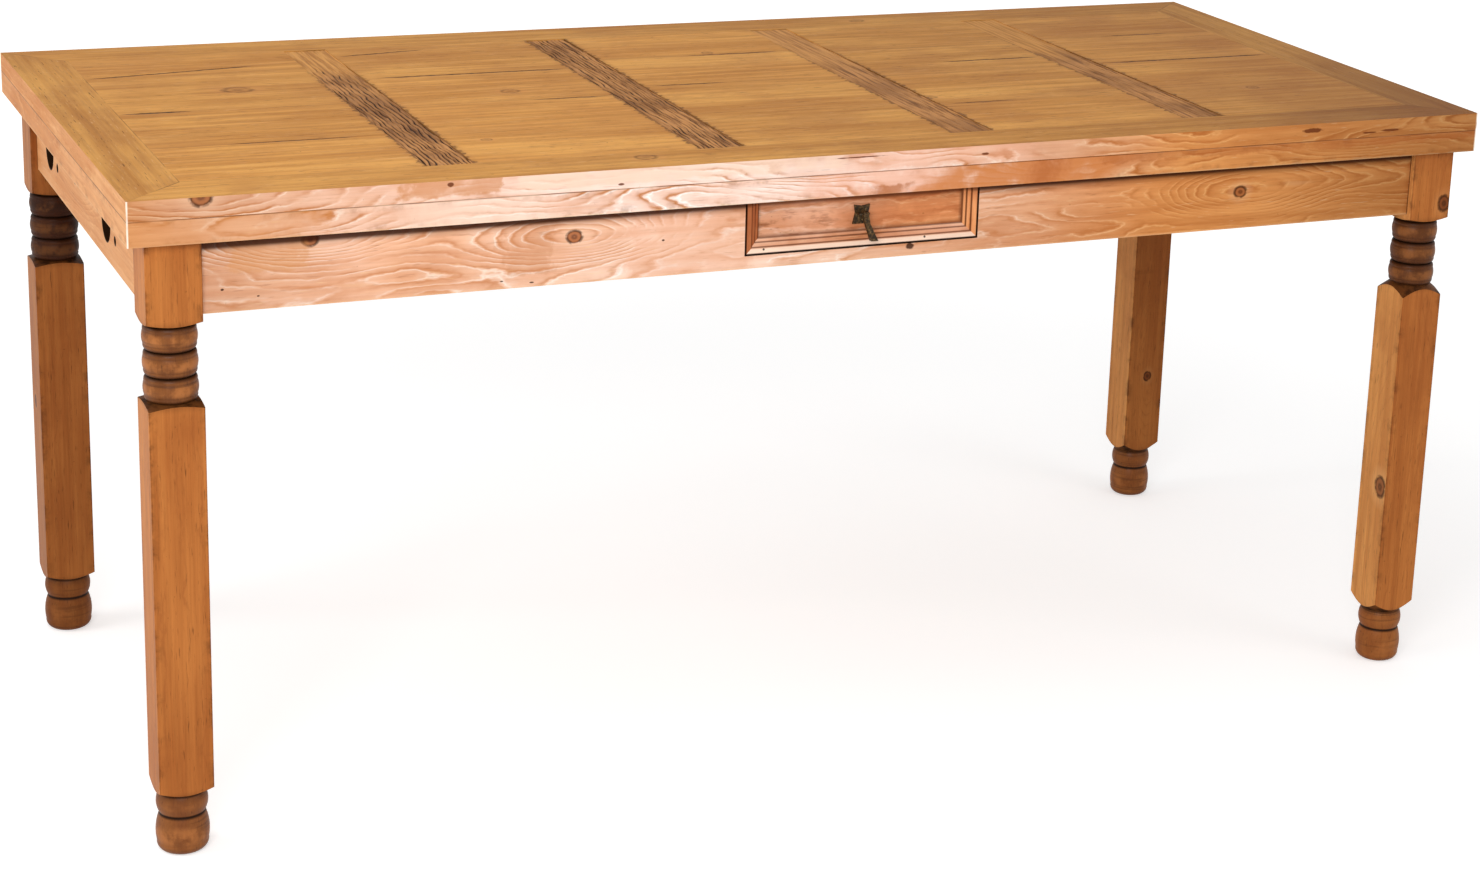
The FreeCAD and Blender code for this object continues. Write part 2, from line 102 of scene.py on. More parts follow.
class Graph:
    """Adds nodes to one shader tree; values may be numbers, colours or other nodes' outputs."""

    def __init__(self, tree):
        self.tree = tree

    def put(self, socket, value):
        if isinstance(value, bpy.types.NodeSocket):
            self.tree.links.new(value, socket)
        else:
            socket.default_value = value

    def add(self, kind, values=(), **settings):
        node = self.tree.nodes.new(kind)
        for name, value in settings.items():
            setattr(node, name, value)
        for key, value in dict(values).items():
            self.put(node.inputs[key], value)
        return node

    def math(self, operation, first, second=0.0, third=0.0, clamp=False):
        node = self.add("ShaderNodeMath", operation=operation, use_clamp=clamp)
        for socket, value in zip(node.inputs, (first, second, third)):
            self.put(socket, value)
        return node.outputs[0]

    def product(self, *values):
        total = values[0]
        for value in values[1:]:
            total = self.math("MULTIPLY", total, value)
        return total

    def distance(self, first, second):
        """Length of the two given offsets taken together."""
        return self.math("SQRT", self.math("ADD", self.product(first, first), self.product(second, second)))

    def minus(self, first, second, clamp=False):
        return self.math("SUBTRACT", first, second, clamp=clamp)

    def rest(self, share):
        """What a share leaves of 1."""
        return self.minus(1.0, share)

    def scaled(self, value, factor, shift):
        """A value times a factor, plus a shift."""
        return self.math("MULTIPLY_ADD", value, factor, shift)

    def plain(self, value):
        return self.math("ABSOLUTE", value)

    def gap(self, value, place):
        return self.plain(self.minus(value, place))

    def mix(self, factor, first, second, blend="MIX"):
        node = self.add("ShaderNodeMix", data_type="RGBA", blend_type=blend)
        colours = [socket for socket in node.inputs if socket.type == "RGBA"]
        self.put(node.inputs[0], factor)
        self.put(colours[0], first)
        self.put(colours[1], second)
        return next(socket for socket in node.outputs if socket.type == "RGBA")

    def ease(self, value, start, end):
        """0 at start, 1 at end, smooth between."""
        node = self.add("ShaderNodeMapRange", interpolation_type="SMOOTHSTEP")
        for key, item in (("Value", value), ("From Min", start), ("From Max", end)):
            self.put(node.inputs[key], item)
        return node.outputs["Result"]

    def between(self, value, low, high, soft):
        """1 from low to high, with soft ends."""
        return self.product(self.ease(value, low - soft, low + soft), self.ease(value, high + soft, high - soft))

    def vector(self, x, y, z):
        node = self.add("ShaderNodeCombineXYZ")
        for socket, value in zip(node.inputs, (x, y, z)):
            self.put(socket, value)
        return node.outputs[0]

    def split(self, vector):
        node = self.add("ShaderNodeSeparateXYZ", {"Vector": vector})
        return node.outputs["X"], node.outputs["Y"], node.outputs["Z"]

    def noise(self, vector, scale, detail=2.0, rough=0.5):
        values = {"Vector": vector, "Scale": scale, "Detail": detail, "Roughness": rough}
        return self.add("ShaderNodeTexNoise", values).outputs[0]

    def ramp(self, value, stops):
        node = self.add("ShaderNodeValToRGB")
        elements = node.color_ramp.elements
        while len(elements) < len(stops):
            elements.new(1.0)
        for element, (place, level) in zip(elements, stops):
            element.position = place
            element.color = (level, level, level, 1.0)
        self.put(node.inputs["Fac"], value)
        return node.outputs["Color"]

    def grey(self, level):
        return self.vector(level, level, level)

    def use(self, group, **values):
        node = self.add("ShaderNodeGroup", node_tree=group)
        for name, value in values.items():
            self.put(node.inputs[name.replace("_", " ")], value)
        return node.outputs


def new_group(name, inputs, outputs):
    """An empty node group: its tree, its graph, its inputs and its outputs by name."""
    tree = bpy.data.node_groups.new(name, "ShaderNodeTree")
    for label in inputs:
        kind = "NodeSocketVector" if label in ("Place", "Centre", "Half") else "NodeSocketFloat"
        tree.interface.new_socket(label, in_out="INPUT", socket_type=kind)
    for label in outputs:
        tree.interface.new_socket(label, in_out="OUTPUT", socket_type="NodeSocketFloat")
    source = tree.nodes.new("NodeGroupInput")
    sink = tree.nodes.new("NodeGroupOutput")
    return tree, Graph(tree), source.outputs, sink.inputs


def shared(build):
    """The node group of a builder function, made once."""
    name = build.__name__
    return bpy.data.node_groups.get(name) or build(name)


def pine_grain(name):
    """Pine cut along its rings: ring lines that wander, fine fibre, broad streaks and short dark flecks."""
    inputs = ("Along", "Across", "Depth", "Seed", "Density", "Waviness", "Swirl")
    tree, g, source, sink = new_group(name, inputs, ("Line", "Late", "Fibre", "Streak", "Tone", "Fleck", "Glint"))
    along, across, depth, seed = (source[n] for n in inputs[:4])
    shift = g.product(seed, 7.31)

    def stretched(length_scale, cross_scale):
        x = g.scaled(along, length_scale, shift)
        y = g.scaled(across, cross_scale, seed)
        z = g.scaled(depth, cross_scale, shift)
        return g.vector(x, y, z)

    bend = g.noise(stretched(2.6, 13.0), 1.0, 1.5, 0.45)
    ripple = g.noise(stretched(24.0, 60.0), 1.0, 3.0, 0.6)
    calm = g.scaled(source["Swirl"], -0.15, 1.0)
    wander = g.product(g.minus(bend, 0.5), source["Waviness"], calm)
    wander = g.scaled(g.minus(ripple, 0.5), 1.3, wander)
    phase = g.scaled(g.distance(across, depth), source["Density"], wander)
    ring = g.math("FRACT", g.math("ADD", phase, source["Swirl"]))
    line = g.ramp(ring, ((0.0, 0.0), (0.50, 0.0), (0.74, 0.20), (0.84, 1.0), (0.91, 0.25), (1.0, 0.0)))
    late = g.ramp(ring, ((0.0, 0.7), (0.10, 1.0), (0.30, 0.25), (0.50, 0.0), (0.95, 0.0), (1.0, 0.7)))
    fade = g.ease(g.noise(stretched(8.0, 40.0), 1.0, 3.0, 0.6), 0.36, 0.64)
    g.put(sink["Line"], g.product(line, fade))
    g.put(sink["Late"], g.product(late, fade))
    g.put(sink["Fibre"], g.noise(stretched(9.0, 460.0), 1.0, 4.0, 0.62))
    g.put(sink["Streak"], g.noise(stretched(4.0, 95.0), 1.0, 4.0, 0.60))
    g.put(sink["Tone"], g.noise(stretched(2.4, 12.0), 1.0, 3.0, 0.55))
    short = g.noise(stretched(38.0, 520.0), 1.0, 2.0, 0.6)
    g.put(sink["Fleck"], g.ease(short, 0.64, 0.73))
    g.put(sink["Glint"], g.ease(short, 0.36, 0.27))
    return tree


def pine_knot(name):
    """One knot through a board: its core, growth rings, ragged bark, pale halo and the swirl of the grain round it."""
    inputs = ("Along", "Across", "Centre Along", "Centre Across", "Radius")
    tree, g, source, sink = new_group(name, inputs, ("Core", "Rings", "Bark", "Halo", "Swirl"))
    da = g.product(g.minus(source["Along"], source["Centre Along"]), 0.80)
    dc = g.minus(source["Across"], source["Centre Across"])
    plane = g.vector(source["Along"], source["Across"], 0.0)
    coarse = g.minus(g.noise(plane, 75.0, 3.0, 0.6), 0.5)
    share = g.math("DIVIDE", g.distance(da, dc), source["Radius"])
    ragged = g.scaled(coarse, 0.45, share)
    g.put(sink["Core"], g.ease(ragged, 1.08, 0.84))
    g.put(sink["Rings"], g.scaled(g.math("SINE", g.product(ragged, 8.0)), 0.5, 0.5))
    rim = g.ease(g.gap(ragged, 1.0), 0.30, 0.05)
    broken = g.ease(g.noise(plane, 120.0, 2.0), 0.30, 0.55)
    g.put(sink["Bark"], g.product(rim, broken))
    g.put(sink["Halo"], g.product(g.ease(ragged, 2.5, 1.25), g.ease(ragged, 0.85, 1.15)))
    wide = g.math("DIVIDE", g.distance(g.product(da, 0.32), dc), source["Radius"])
    g.put(sink["Swirl"], g.math("EXPONENT", g.product(wide, wide, -0.055)))
    return tree


def box_edge(name):
    """Distance of a point on a box to the nearest edge of that box."""
    tree, g, source, sink = new_group(name, ("Place", "Centre", "Half"), ("Distance",))
    local = g.add("ShaderNodeVectorMath", {0: source["Place"], 1: source["Centre"]}, operation="SUBTRACT")
    plain = g.add("ShaderNodeVectorMath", {0: local.outputs[0]}, operation="ABSOLUTE")
    inset = g.add("ShaderNodeVectorMath", {0: source["Half"], 1: plain.outputs[0]}, operation="SUBTRACT")
    a, b, c = g.split(inset.outputs[0])
    high = g.math("MAXIMUM", a, b)
    g.put(sink["Distance"], g.math("MAXIMUM", g.math("MINIMUM", a, b), g.math("MINIMUM", high, c)))
    return tree


def wood_finish(name):
    """Wax and handling: worn edges, dirt along the edges, blotches, specks and scratches."""
    tree, g, source, sink = new_group(name, ("Place", "Edge", "Seed"), ("Worn", "Grime", "Blotch", "Speck", "Scratch"))
    moved = g.add("ShaderNodeVectorMath", {0: source["Place"], 1: g.grey(source["Seed"])}, operation="ADD")
    place = moved.outputs[0]
    chatter = g.noise(place, 38.0, 4.0, 0.65)
    ragged = g.scaled(g.minus(chatter, 0.5), -0.006, source["Edge"])
    g.put(sink["Worn"], g.ease(ragged, 0.0020, 0.0002))
    g.put(sink["Grime"], g.product(g.ease(source["Edge"], 0.012, 0.0), g.ease(chatter, 0.46, 0.70)))
    g.put(sink["Blotch"], g.ease(g.noise(place, 6.5, 5.0, 0.62), 0.44, 0.66))
    g.put(sink["Speck"], g.ease(g.noise(place, 210.0, 2.0), 0.72, 0.77))
    turned = g.add("ShaderNodeMapping", {"Vector": place, "Rotation": (0.0, 0.0, 0.6), "Scale": (6.0, 170.0, 40.0)})
    g.put(sink["Scratch"], g.ease(g.noise(turned.outputs[0], 1.0, 2.0), 0.69, 0.75))
    return tree


def open_joint(name):
    """A ragged dark line along a board, from one place to another, that thins out at its ends."""
    inputs = ("Along", "Across", "Start", "End", "Offset", "Slope", "Width")
    tree, g, source, sink = new_group(name, inputs, ("Mask",))
    along = source["Along"]
    run = g.minus(along, source["Start"])
    course = g.scaled(run, source["Slope"], source["Offset"])
    wobble = g.minus(g.noise(g.grey(along), 24.0, 4.0, 0.6), 0.5)
    course = g.scaled(wobble, 0.006, course)
    ends = g.product(g.ease(run, 0.0, 0.03), g.ease(g.minus(source["End"], along), 0.0, 0.03))
    thick = g.scaled(g.noise(g.grey(along), 60.0, 3.0), 1.4, 0.1)
    width = g.product(source["Width"], ends, thick)
    side = g.math("DIVIDE", g.gap(source["Across"], course), g.math("MAXIMUM", width, 0.00005))
    g.put(sink["Mask"], g.product(g.ease(side, 1.3, 0.5), g.ease(ends, 0.0, 0.2)))
    return tree


def new_material(name):
    material = bpy.data.materials.new(name)
    material.use_nodes = True
    material.node_tree.nodes.clear()
    return material, Graph(material.node_tree)


def output(g, shader):
    g.put(g.add("ShaderNodeOutputMaterial").inputs["Surface"], shader.outputs[0])


def surface(material, g, height, strength, distance, values):
    """Finish a material with a bump from the height and a shader with the given values."""
    bump = g.add("ShaderNodeBump", {"Height": height, "Strength": strength, "Distance": distance})
    output(g, g.add("ShaderNodeBsdfPrincipled", dict(values, Normal=bump.outputs["Normal"])))
    return material


class Pine:
    """One pine material in the making: places along, across and through the board, and the colour so far."""

    def __init__(self, name, order, seed, look, base=None):
        self.look = look
        self.seed = seed
        if base is None:
            self.material, self.g = new_material(name)
            self.place = self.g.add("ShaderNodeTexCoord").outputs["Object"]
            self.axes = self.g.split(self.place)
            self.normal = self.g.split(self.g.add("ShaderNodeNewGeometry").outputs["True Normal"])
        else:
            self.material, self.g, self.place, self.axes, self.normal = (
                base.material, base.g, base.place, base.axes, base.normal)
        self.x, self.y, self.z = self.axes
        self.along, self.across, self.depth = (self.axes[AXES[letter]] for letter in order)
        self.knots = []
        self.edge = 1.0
        self.coat = 0.0
        self.bleach = 0.0

    def knot(self, along, across, radius, letter=None):
        """A knot; with a letter, it lies on the faces that look across the board along the other axis."""
        g = self.g
        cross = self.axes[AXES[letter]] if letter else self.across
        outputs = g.use(shared(pine_knot), Along=self.along, Across=cross, Centre_Along=along, Centre_Across=across,
                        Radius=radius)
        masks = {socket.name: socket for socket in outputs}
        if letter:
            facing = g.ease(g.plain(self.normal[AXES[letter]]), 0.6, 0.4)
            for name in ("Core", "Bark", "Halo", "Swirl"):
                masks[name] = g.product(masks[name], facing)
        self.knots.append(masks)

    def boxed(self, node):
        """Edges are those of the node's box."""
        self.edge = self.g.use(shared(box_edge), Place=self.place, Centre=centre_of(node), Half=size_of(node) / 2)[0]

    def paint(self):
        """Grain, knots, finish and painted sheen in one colour."""
        g, look = self.g, self.look
        swirl = 0.0
        for knot in self.knots:
            swirl = g.scaled(knot["Swirl"], KNOT_SWIRL, swirl)
        self.grain = g.use(shared(pine_grain), Along=self.along, Across=self.across, Depth=self.depth, Seed=self.seed,
                           Density=look["density"], Waviness=look["waviness"], Swirl=swirl)
        finish = g.use(shared(wood_finish), Place=self.place, Edge=self.edge, Seed=self.seed)
        grain = self.grain
        tone = g.ease(g.scaled(grain["Streak"], 0.5, g.product(grain["Tone"], 0.5)), 0.36, 0.64)
        self.colour = g.mix(tone, look["pale"], look["deep"])
        line, stain = look["line"], look["stain"]
        # Painted sheen: paler colours stand in for light reflected off the surface
        if self.bleach:
            pale = g.mix(tone, look["sheen_pale"], look["sheen_deep"])
            self.colour = g.mix(self.bleach, self.colour, pale)
            line = g.mix(self.bleach, line, look["sheen_line"])
            stain = g.mix(self.bleach, stain, look["sheen_stain"])
        self.stain(finish["Blotch"], stain, look["blotch"])
        self.stain(grain["Late"], stain, look["late_strength"])
        self.stain(grain["Line"], line, look["line_strength"])
        self.shade(g.scaled(grain["Fibre"], look["fibre"], 1.0 - look["fibre"] / 2))
        self.stain(grain["Fleck"], look["fleck_tone"], look["fleck"])
        self.stain(grain["Glint"], look["worn"], look["glint"])
        for knot in self.knots:
            self.stain(knot["Halo"], look["halo"], look["halo_strength"])
            self.stain(knot["Core"], g.mix(knot["Rings"], look["knot"], look["knot_deep"]), look["knot_strength"])
            self.stain(knot["Bark"], look["dark"], 0.8 * look["knot_strength"])
        for mask, over, share in (("Grime", "fleck_tone", "grime"), ("Speck", "fleck_tone", "speck"),
                                  ("Scratch", "worn", "scratch"), ("Worn", "worn", "wear")):
            self.stain(finish[mask], look[over], look[share])
        self.height = g.scaled(grain["Fibre"], 0.35, g.product(grain["Line"], 0.4))
        return self

    def cloud(self, scale, start, end, detail=2.0, rough=0.5):
        """A soft mask of patches over the piece."""
        return self.g.ease(self.g.noise(self.place, scale, detail, rough), start, end)

    def stain(self, mask, colour, strength=1.0):
        """Lay another colour over what is painted."""
        self.colour = self.g.mix(self.g.product(mask, strength), self.colour, colour)

    def spot(self, across, along, height, start, end, colour, strength):
        """A round patch of colour at a place along and a height, that fades out between two distances from it."""
        g = self.g
        away = g.distance(g.minus(across, along), g.minus(self.z, height))
        self.stain(g.ease(away, start, end), colour, strength)

    def cut(self, mask):
        """Lower the surface for the bump where the mask is 1."""
        self.height = self.g.minus(self.height, self.g.product(mask, CRACK_DEPTH))

    def shade(self, level):
        """Multiply the colour by a grey level."""
        self.colour = self.g.mix(1.0, self.colour, self.g.grey(level), "MULTIPLY")

    def finish(self):
        """Connect the colour, the bump and the wax, and give back the material."""
        g, look = self.g, self.look
        rough = g.scaled(self.grain["Fibre"], ROUGH_SPREAD, look["rough"] - ROUGH_SPREAD / 2)
        return surface(self.material, g, self.height, look["bump"], GRAIN_RELIEF, {
            "Base Color": self.colour, "Roughness": rough, "Coat Weight": self.coat, "Coat Roughness": 0.30,
            "Specular IOR Level": look["gloss"],
        })


def looks(settings):
    """Colours and strengths of each kind of pine on the table."""
    base = dict(
        density=80.0, waviness=3.0, rough=0.52, bump=0.35, gloss=0.06,
        line_strength=0.45, late_strength=0.0, fibre=0.34, fleck=0.55, glint=0.35,
        blotch=0.40, grime=0.5, speck=0.35, scratch=0.15, wear=0.45,
        dark=srgb(46, 23, 10), stain=srgb(172, 112, 56), worn=srgb(240, 200, 152), fleck_tone=srgb(66, 36, 17),
        knot=srgb(172, 100, 54), knot_deep=srgb(112, 58, 28), knot_strength=0.9,
        halo=srgb(205, 140, 84), halo_strength=0.25,
    )
    top = dict(
        base, pale=tuple(settings.top_pale), deep=tuple(settings.top_deep), line=srgb(146, 92, 40),
        density=60.0, waviness=3.6, rough=0.60, line_strength=0.26, fibre=0.42, fleck=0.72, wear=0.2,
        knot=srgb(176, 120, 66), knot_deep=srgb(128, 78, 38), knot_strength=0.5,
    )
    front = dict(
        base, pale=tuple(settings.front_pale), deep=tuple(settings.front_deep), line=srgb(234, 172, 108),
        # Paler colours of the painted sheen
        sheen_pale=srgb(250, 217, 197), sheen_deep=srgb(238, 189, 161),
        sheen_line=srgb(255, 250, 244), sheen_stain=srgb(198, 126, 74),
        density=42.0, waviness=25.0, gloss=0.05, line_strength=0.85, late_strength=0.68, fibre=0.24, fleck=0.30,
        blotch=0.24, speck=0.25, wear=0.35, stain=srgb(184, 108, 52), fleck_tone=srgb(136, 74, 34),
        halo=srgb(250, 214, 176), halo_strength=0.12,
    )
    skirt = dict(
        # Stronger grain lines, and paler colours of the painted sheen on the skirt
        front, line_strength=0.95, late_strength=0.95, sheen_pale=srgb(253, 226, 212),
        sheen_deep=srgb(242, 200, 178), sheen_stain=srgb(190, 118, 62),
    )
    end = dict(
        front, pale=srgb(222, 156, 92), deep=srgb(196, 128, 70), density=60.0, waviness=6.0,
        # Paler colours of the painted sheen on the ends
        sheen_pale=srgb(242, 190, 146), sheen_deep=srgb(220, 154, 102), sheen_line=srgb(248, 206, 156),
        line_strength=0.35, late_strength=0.35, blotch=0.40,
    )
    leg = dict(
        base, pale=tuple(settings.leg_pale), deep=tuple(settings.leg_deep), line=srgb(146, 80, 38),
        density=64.0, waviness=2.4, rough=0.48, line_strength=0.40, fibre=0.45, blotch=0.65, wear=0.55,
        dark=srgb(46, 23, 11), stain=srgb(160, 90, 42), worn=srgb(104, 54, 24),
        knot=srgb(120, 62, 30), knot_deep=srgb(70, 34, 16),
    )
    inner = dict(base, pale=srgb(206, 158, 106), deep=srgb(178, 126, 78), line=srgb(158, 104, 58), rough=0.66)
    return {"top": top, "front": front, "skirt": skirt, "end": end, "leg": leg, "inner": inner}


def dress(node, material, bevel=0.0):
    """Give a CAD node one material and, where asked, softened edges."""
    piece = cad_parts[node]
    piece.data.materials.clear()
    piece.data.materials.append(material)
    if bevel:
        modifier = piece.modifiers.new("soft_edges", "BEVEL")
        modifier.width = bevel
        modifier.segments = 2
        modifier.limit_method = "ANGLE"
        modifier.angle_limit = math.radians(40)


def dress_inner(node, order, seed, look):
    """Plain pine for a piece that is hidden at rest."""
    pine = Pine(node + "_pine", order, seed, look)
    pine.boxed(node)
    dress(node, pine.paint().finish(), BEVEL["inner"])


def table_settings():
    return bpy.context.scene.tavern_table


def tint(name, description, *colour):
    return bpy.props.FloatVectorProperty(name=name, description=description, subtype="COLOR", size=4,
                                         default=srgb(*colour))


def power(name, description, watts):
    return bpy.props.FloatProperty(name=name, description=description, default=watts, min=0.0, unit="POWER")


class TavernTableSettings(bpy.types.PropertyGroup):
    """Colours of the pine, depth of the strips' grooves and strength of the light."""

    top_pale: tint("Top pale", "Light tone of the top's boards", 220, 160, 84)
    top_deep: tint("Top deep", "Deep tone of the top's boards", 184, 123, 57)
    front_pale: tint("Front pale", "Light tone of edges and aprons", 230, 158, 92)
    front_deep: tint("Front deep", "Deep tone of edges and aprons", 200, 126, 66)
    leg_pale: tint("Leg pale", "Light tone of the legs", 190, 117, 58)
    leg_deep: tint("Leg deep", "Deep tone of the legs", 163, 93, 43)
    key_power: power("Key power", "Power of the main softbox", 48.0)
    fill_power: power("Fill power", "Power of the softbox at the right", 13.0)
    end_power: power("End power", "Power of the softbox at the left end", 24.0)
    top_power: power("Top power", "Power of the softbox above the top", 10.0)
    groove_depth: bpy.props.FloatProperty(name="Groove depth", description="Depth of the strips' grooves",
                                          default=0.0026, min=0.0, unit="LENGTH")


# Top

PLANK_JOINTS = (
    (0.24, 0.51, 0.83),
    (0.22, 0.46, 0.71),
    (0.27, 0.52, 0.78),
    (0.23, 0.50, 0.75),
    (0.26, 0.51, 0.77),
)
PANEL_KNOTS = (
    ((-0.619, 0.109, 0.014),),
    ((-0.304, 0.026, 0.009), (-0.410, -0.215, 0.005)),
    ((0.020, 0.190, 0.006),),
    ((0.194, -0.131, 0.007),),
    ((0.640, -0.180, 0.007),),
)
# Open stretches of the joints and cracks: start x, end x, y at the start, rise of y per length, half width
PANEL_CRACKS = (
    ((-0.781, -0.560, 0.207, 0.16, 0.0026), (-0.782, -0.690, 0.009, 0.0, 0.0034), (-0.70, -0.54, -0.165, 0.0, 0.0018)),
    ((-0.440, -0.190, 0.136, 0.0, 0.0027), (-0.457, -0.330, 0.272, 0.16, 0.0023), (-0.30, -0.19, -0.028, 0.0, 0.0020)),
    ((-0.130, -0.020, 0.012, 0.0, 0.0022), (-0.02, 0.12, 0.178, 0.0, 0.0026)),
    ((0.300, 0.454, 0.064, 0.0, 0.0026), (0.200, 0.300, -0.172, 0.0, 0.0018)),
    ((0.520, 0.778, 0.006, 0.0, 0.0028), (0.60, 0.72, 0.173, 0.0, 0.0022)),
)
TOP_FRAME_KNOTS = {"front": ((-0.263, -0.342, 0.010),), "back": ((0.31, 0.352, 0.008),), "left": (), "right": ()}
EDGE_KNOT = (-0.773, 0.7595, 0.0090)
# Flat dark marks on the front: centre x, centre z, half length, half height
EDGE_MARKS = (
    (0.601, 0.7515, 0.015, 0.0030), (0.716, 0.7455, 0.013, 0.0016), (0.685, 0.744, 0.010, 0.0012),
    (-0.310, 0.7430, 0.004, 0.0014), (-0.020, 0.7560, 0.034, 0.0008), (0.143, 0.7500, 0.0055, 0.0016),
    (-0.505, 0.7555, 0.004, 0.0025),
)
APRON_MARKS = (
    (-0.748, 0.651, 0.0018, 0.0012), (-0.710, 0.641, 0.0018, 0.0010), (0.061, 0.6375, 0.0060, 0.0045),
    (-0.440, 0.635, 0.0024, 0.0010), (-0.405, 0.631, 0.0032, 0.0010), (-0.250, 0.668, 0.0020, 0.0012),
)
STRIP_STAIN_REACH = 0.007
SMOOTH_BACK = 0.3
# Patches of the front, the palest ones in the middle painted sheen and the others stains: from x, to x, from z, to z,
# lean of x with height, softness, colour, strength
EDGE_PATCHES = (
    (-0.430, -0.040, 0.7445, 0.7640, 0.0, 0.006, srgb(244, 210, 186), 0.75),
    (-0.555, -0.450, 0.7430, 0.7640, 0.0, 0.006, srgb(200, 130, 74), 0.65),
    (-0.030, 0.200, 0.7400, 0.7640, 0.0, 0.030, srgb(236, 174, 142), 0.55),
)
SKIRT_PATCHES = (
    (-0.560, -0.400, 0.7000, 0.7460, 0.0, 0.030, srgb(250, 220, 200), 0.50),
    (-0.080, 0.100, 0.7000, 0.7460, 0.0, 0.030, srgb(236, 170, 138), 0.58),
    (0.084, 0.330, 0.7000, 0.7420, 1.7, 0.022, srgb(208, 130, 74), 0.90),
    (0.206, 0.246, 0.7000, 0.7400, 0.3, 0.018, srgb(176, 96, 48), 0.60),
    (0.002, 0.046, 0.7000, 0.7200, 0.6, 0.012, srgb(176, 104, 58), 0.72),
    (-0.860, -0.640, 0.7050, 0.7440, 0.0, 0.006, srgb(208, 140, 82), 0.40),
    (0.300, 0.900, 0.7275, 0.7460, 0.0, 0.012, srgb(172, 94, 46), 0.45),
)
APRON_PATCHES = (
    (-0.290, -0.140, 0.6000, 0.7200, 0.0, 0.006, srgb(226, 164, 128), 0.42),
    (-0.440, -0.380, 0.6400, 0.7000, 0.0, 0.006, srgb(190, 124, 78), 0.35),
    (-0.740, -0.660, 0.6680, 0.7040, 0.0, 0.006, srgb(204, 142, 88), 0.45),
)
PATCH_MIDDLE = 0.725
PATCH_RIM = 0.002
# How much painted sheen pales the sides other than the front
SIDE_SHEEN = {"left": 0.45, "back": 0.30, "right": 0.25}


def insets(pine):
    """How far a point lies in from the top's ends and from its front and back."""
    g, high = pine.g, cad_box[1]
    return g.minus(high[0], g.plain(pine.x)), g.minus(high[1], g.plain(pine.y))


def side_order(side, face):
    """Grain order of a front, back or end board: along, across and through the face that shows."""
    run, cross = ("x", "y") if side in ("front", "back") else ("y", "x")
    return run + (cross + "z" if face == "top" else "z" + cross)


def bleached(pine, side, left=-0.95, strength=1.2):
    """Painted sheen: the front is paler in its middle, from the given left place on; the other sides only a little."""
    g = pine.g
    if side != "front":
        return SIDE_SHEEN[side]
    hill = g.product(g.ease(pine.x, left, left + 0.50), g.ease(pine.x, 0.44, -0.06))
    patchy = g.scaled(g.noise(pine.place, 6.0, 4.0), 1.5 * strength, 0.10 * strength)
    return g.math("MULTIPLY", hill, patchy, clamp=True)


def patch_up(pine, patches):
    """Lay patches with torn outlines over the colour."""
    g = pine.g
    torn = g.scaled(g.noise(pine.place, 55.0, 4.0, 0.65), 0.06, -0.03)
    x = g.math("ADD", pine.x, torn)
    z = g.scaled(torn, 0.25, pine.z)
    fade = pine.cloud(26.0, 0.20, 0.52, 4.0, 0.6)
    for x0, x1, z0, z1, lean, soft, colour, strength in patches:
        run = g.scaled(g.minus(z, PATCH_MIDDLE), -lean, x)
        spot = g.product(g.between(run, x0, x1, soft), g.between(z, z0, z1, PATCH_RIM))
        pine.stain(g.product(spot, fade), colour, strength)


def mark(pine, marks, colour):
    """Small ragged dark ovals on the front."""
    g = pine.g
    rough = g.scaled(g.noise(pine.place, 140.0, 2.0), 0.9, -0.45)
    for x, z, length, height in marks:
        oval = g.distance(g.math("DIVIDE", g.gap(pine.x, x), length), g.math("DIVIDE", g.gap(pine.z, z), height))
        pine.stain(g.ease(g.math("ADD", oval, rough), 1.1, 0.7), colour, 0.90)


def dim_ends(pine):
    """Painted shade: the front is darker towards its ends."""
    g = pine.g
    left = g.product(g.ease(pine.x, -0.55, -0.85), 0.20)
    right = g.product(g.ease(pine.x, 0.38, 0.85), 0.34)
    pine.shade(g.rest(g.math("ADD", left, right)))


def worn_corner(pine):
    """The upright corners of the edge are rubbed pale and painted with a highlight, almost white."""
    g = pine.g
    corner = g.ease(g.math("MAXIMUM", *insets(pine)), 0.0021, 0.0009)
    pine.stain(g.product(corner, pine.cloud(45.0, 0.30, 0.50)), srgb(255, 240, 222), 0.85)


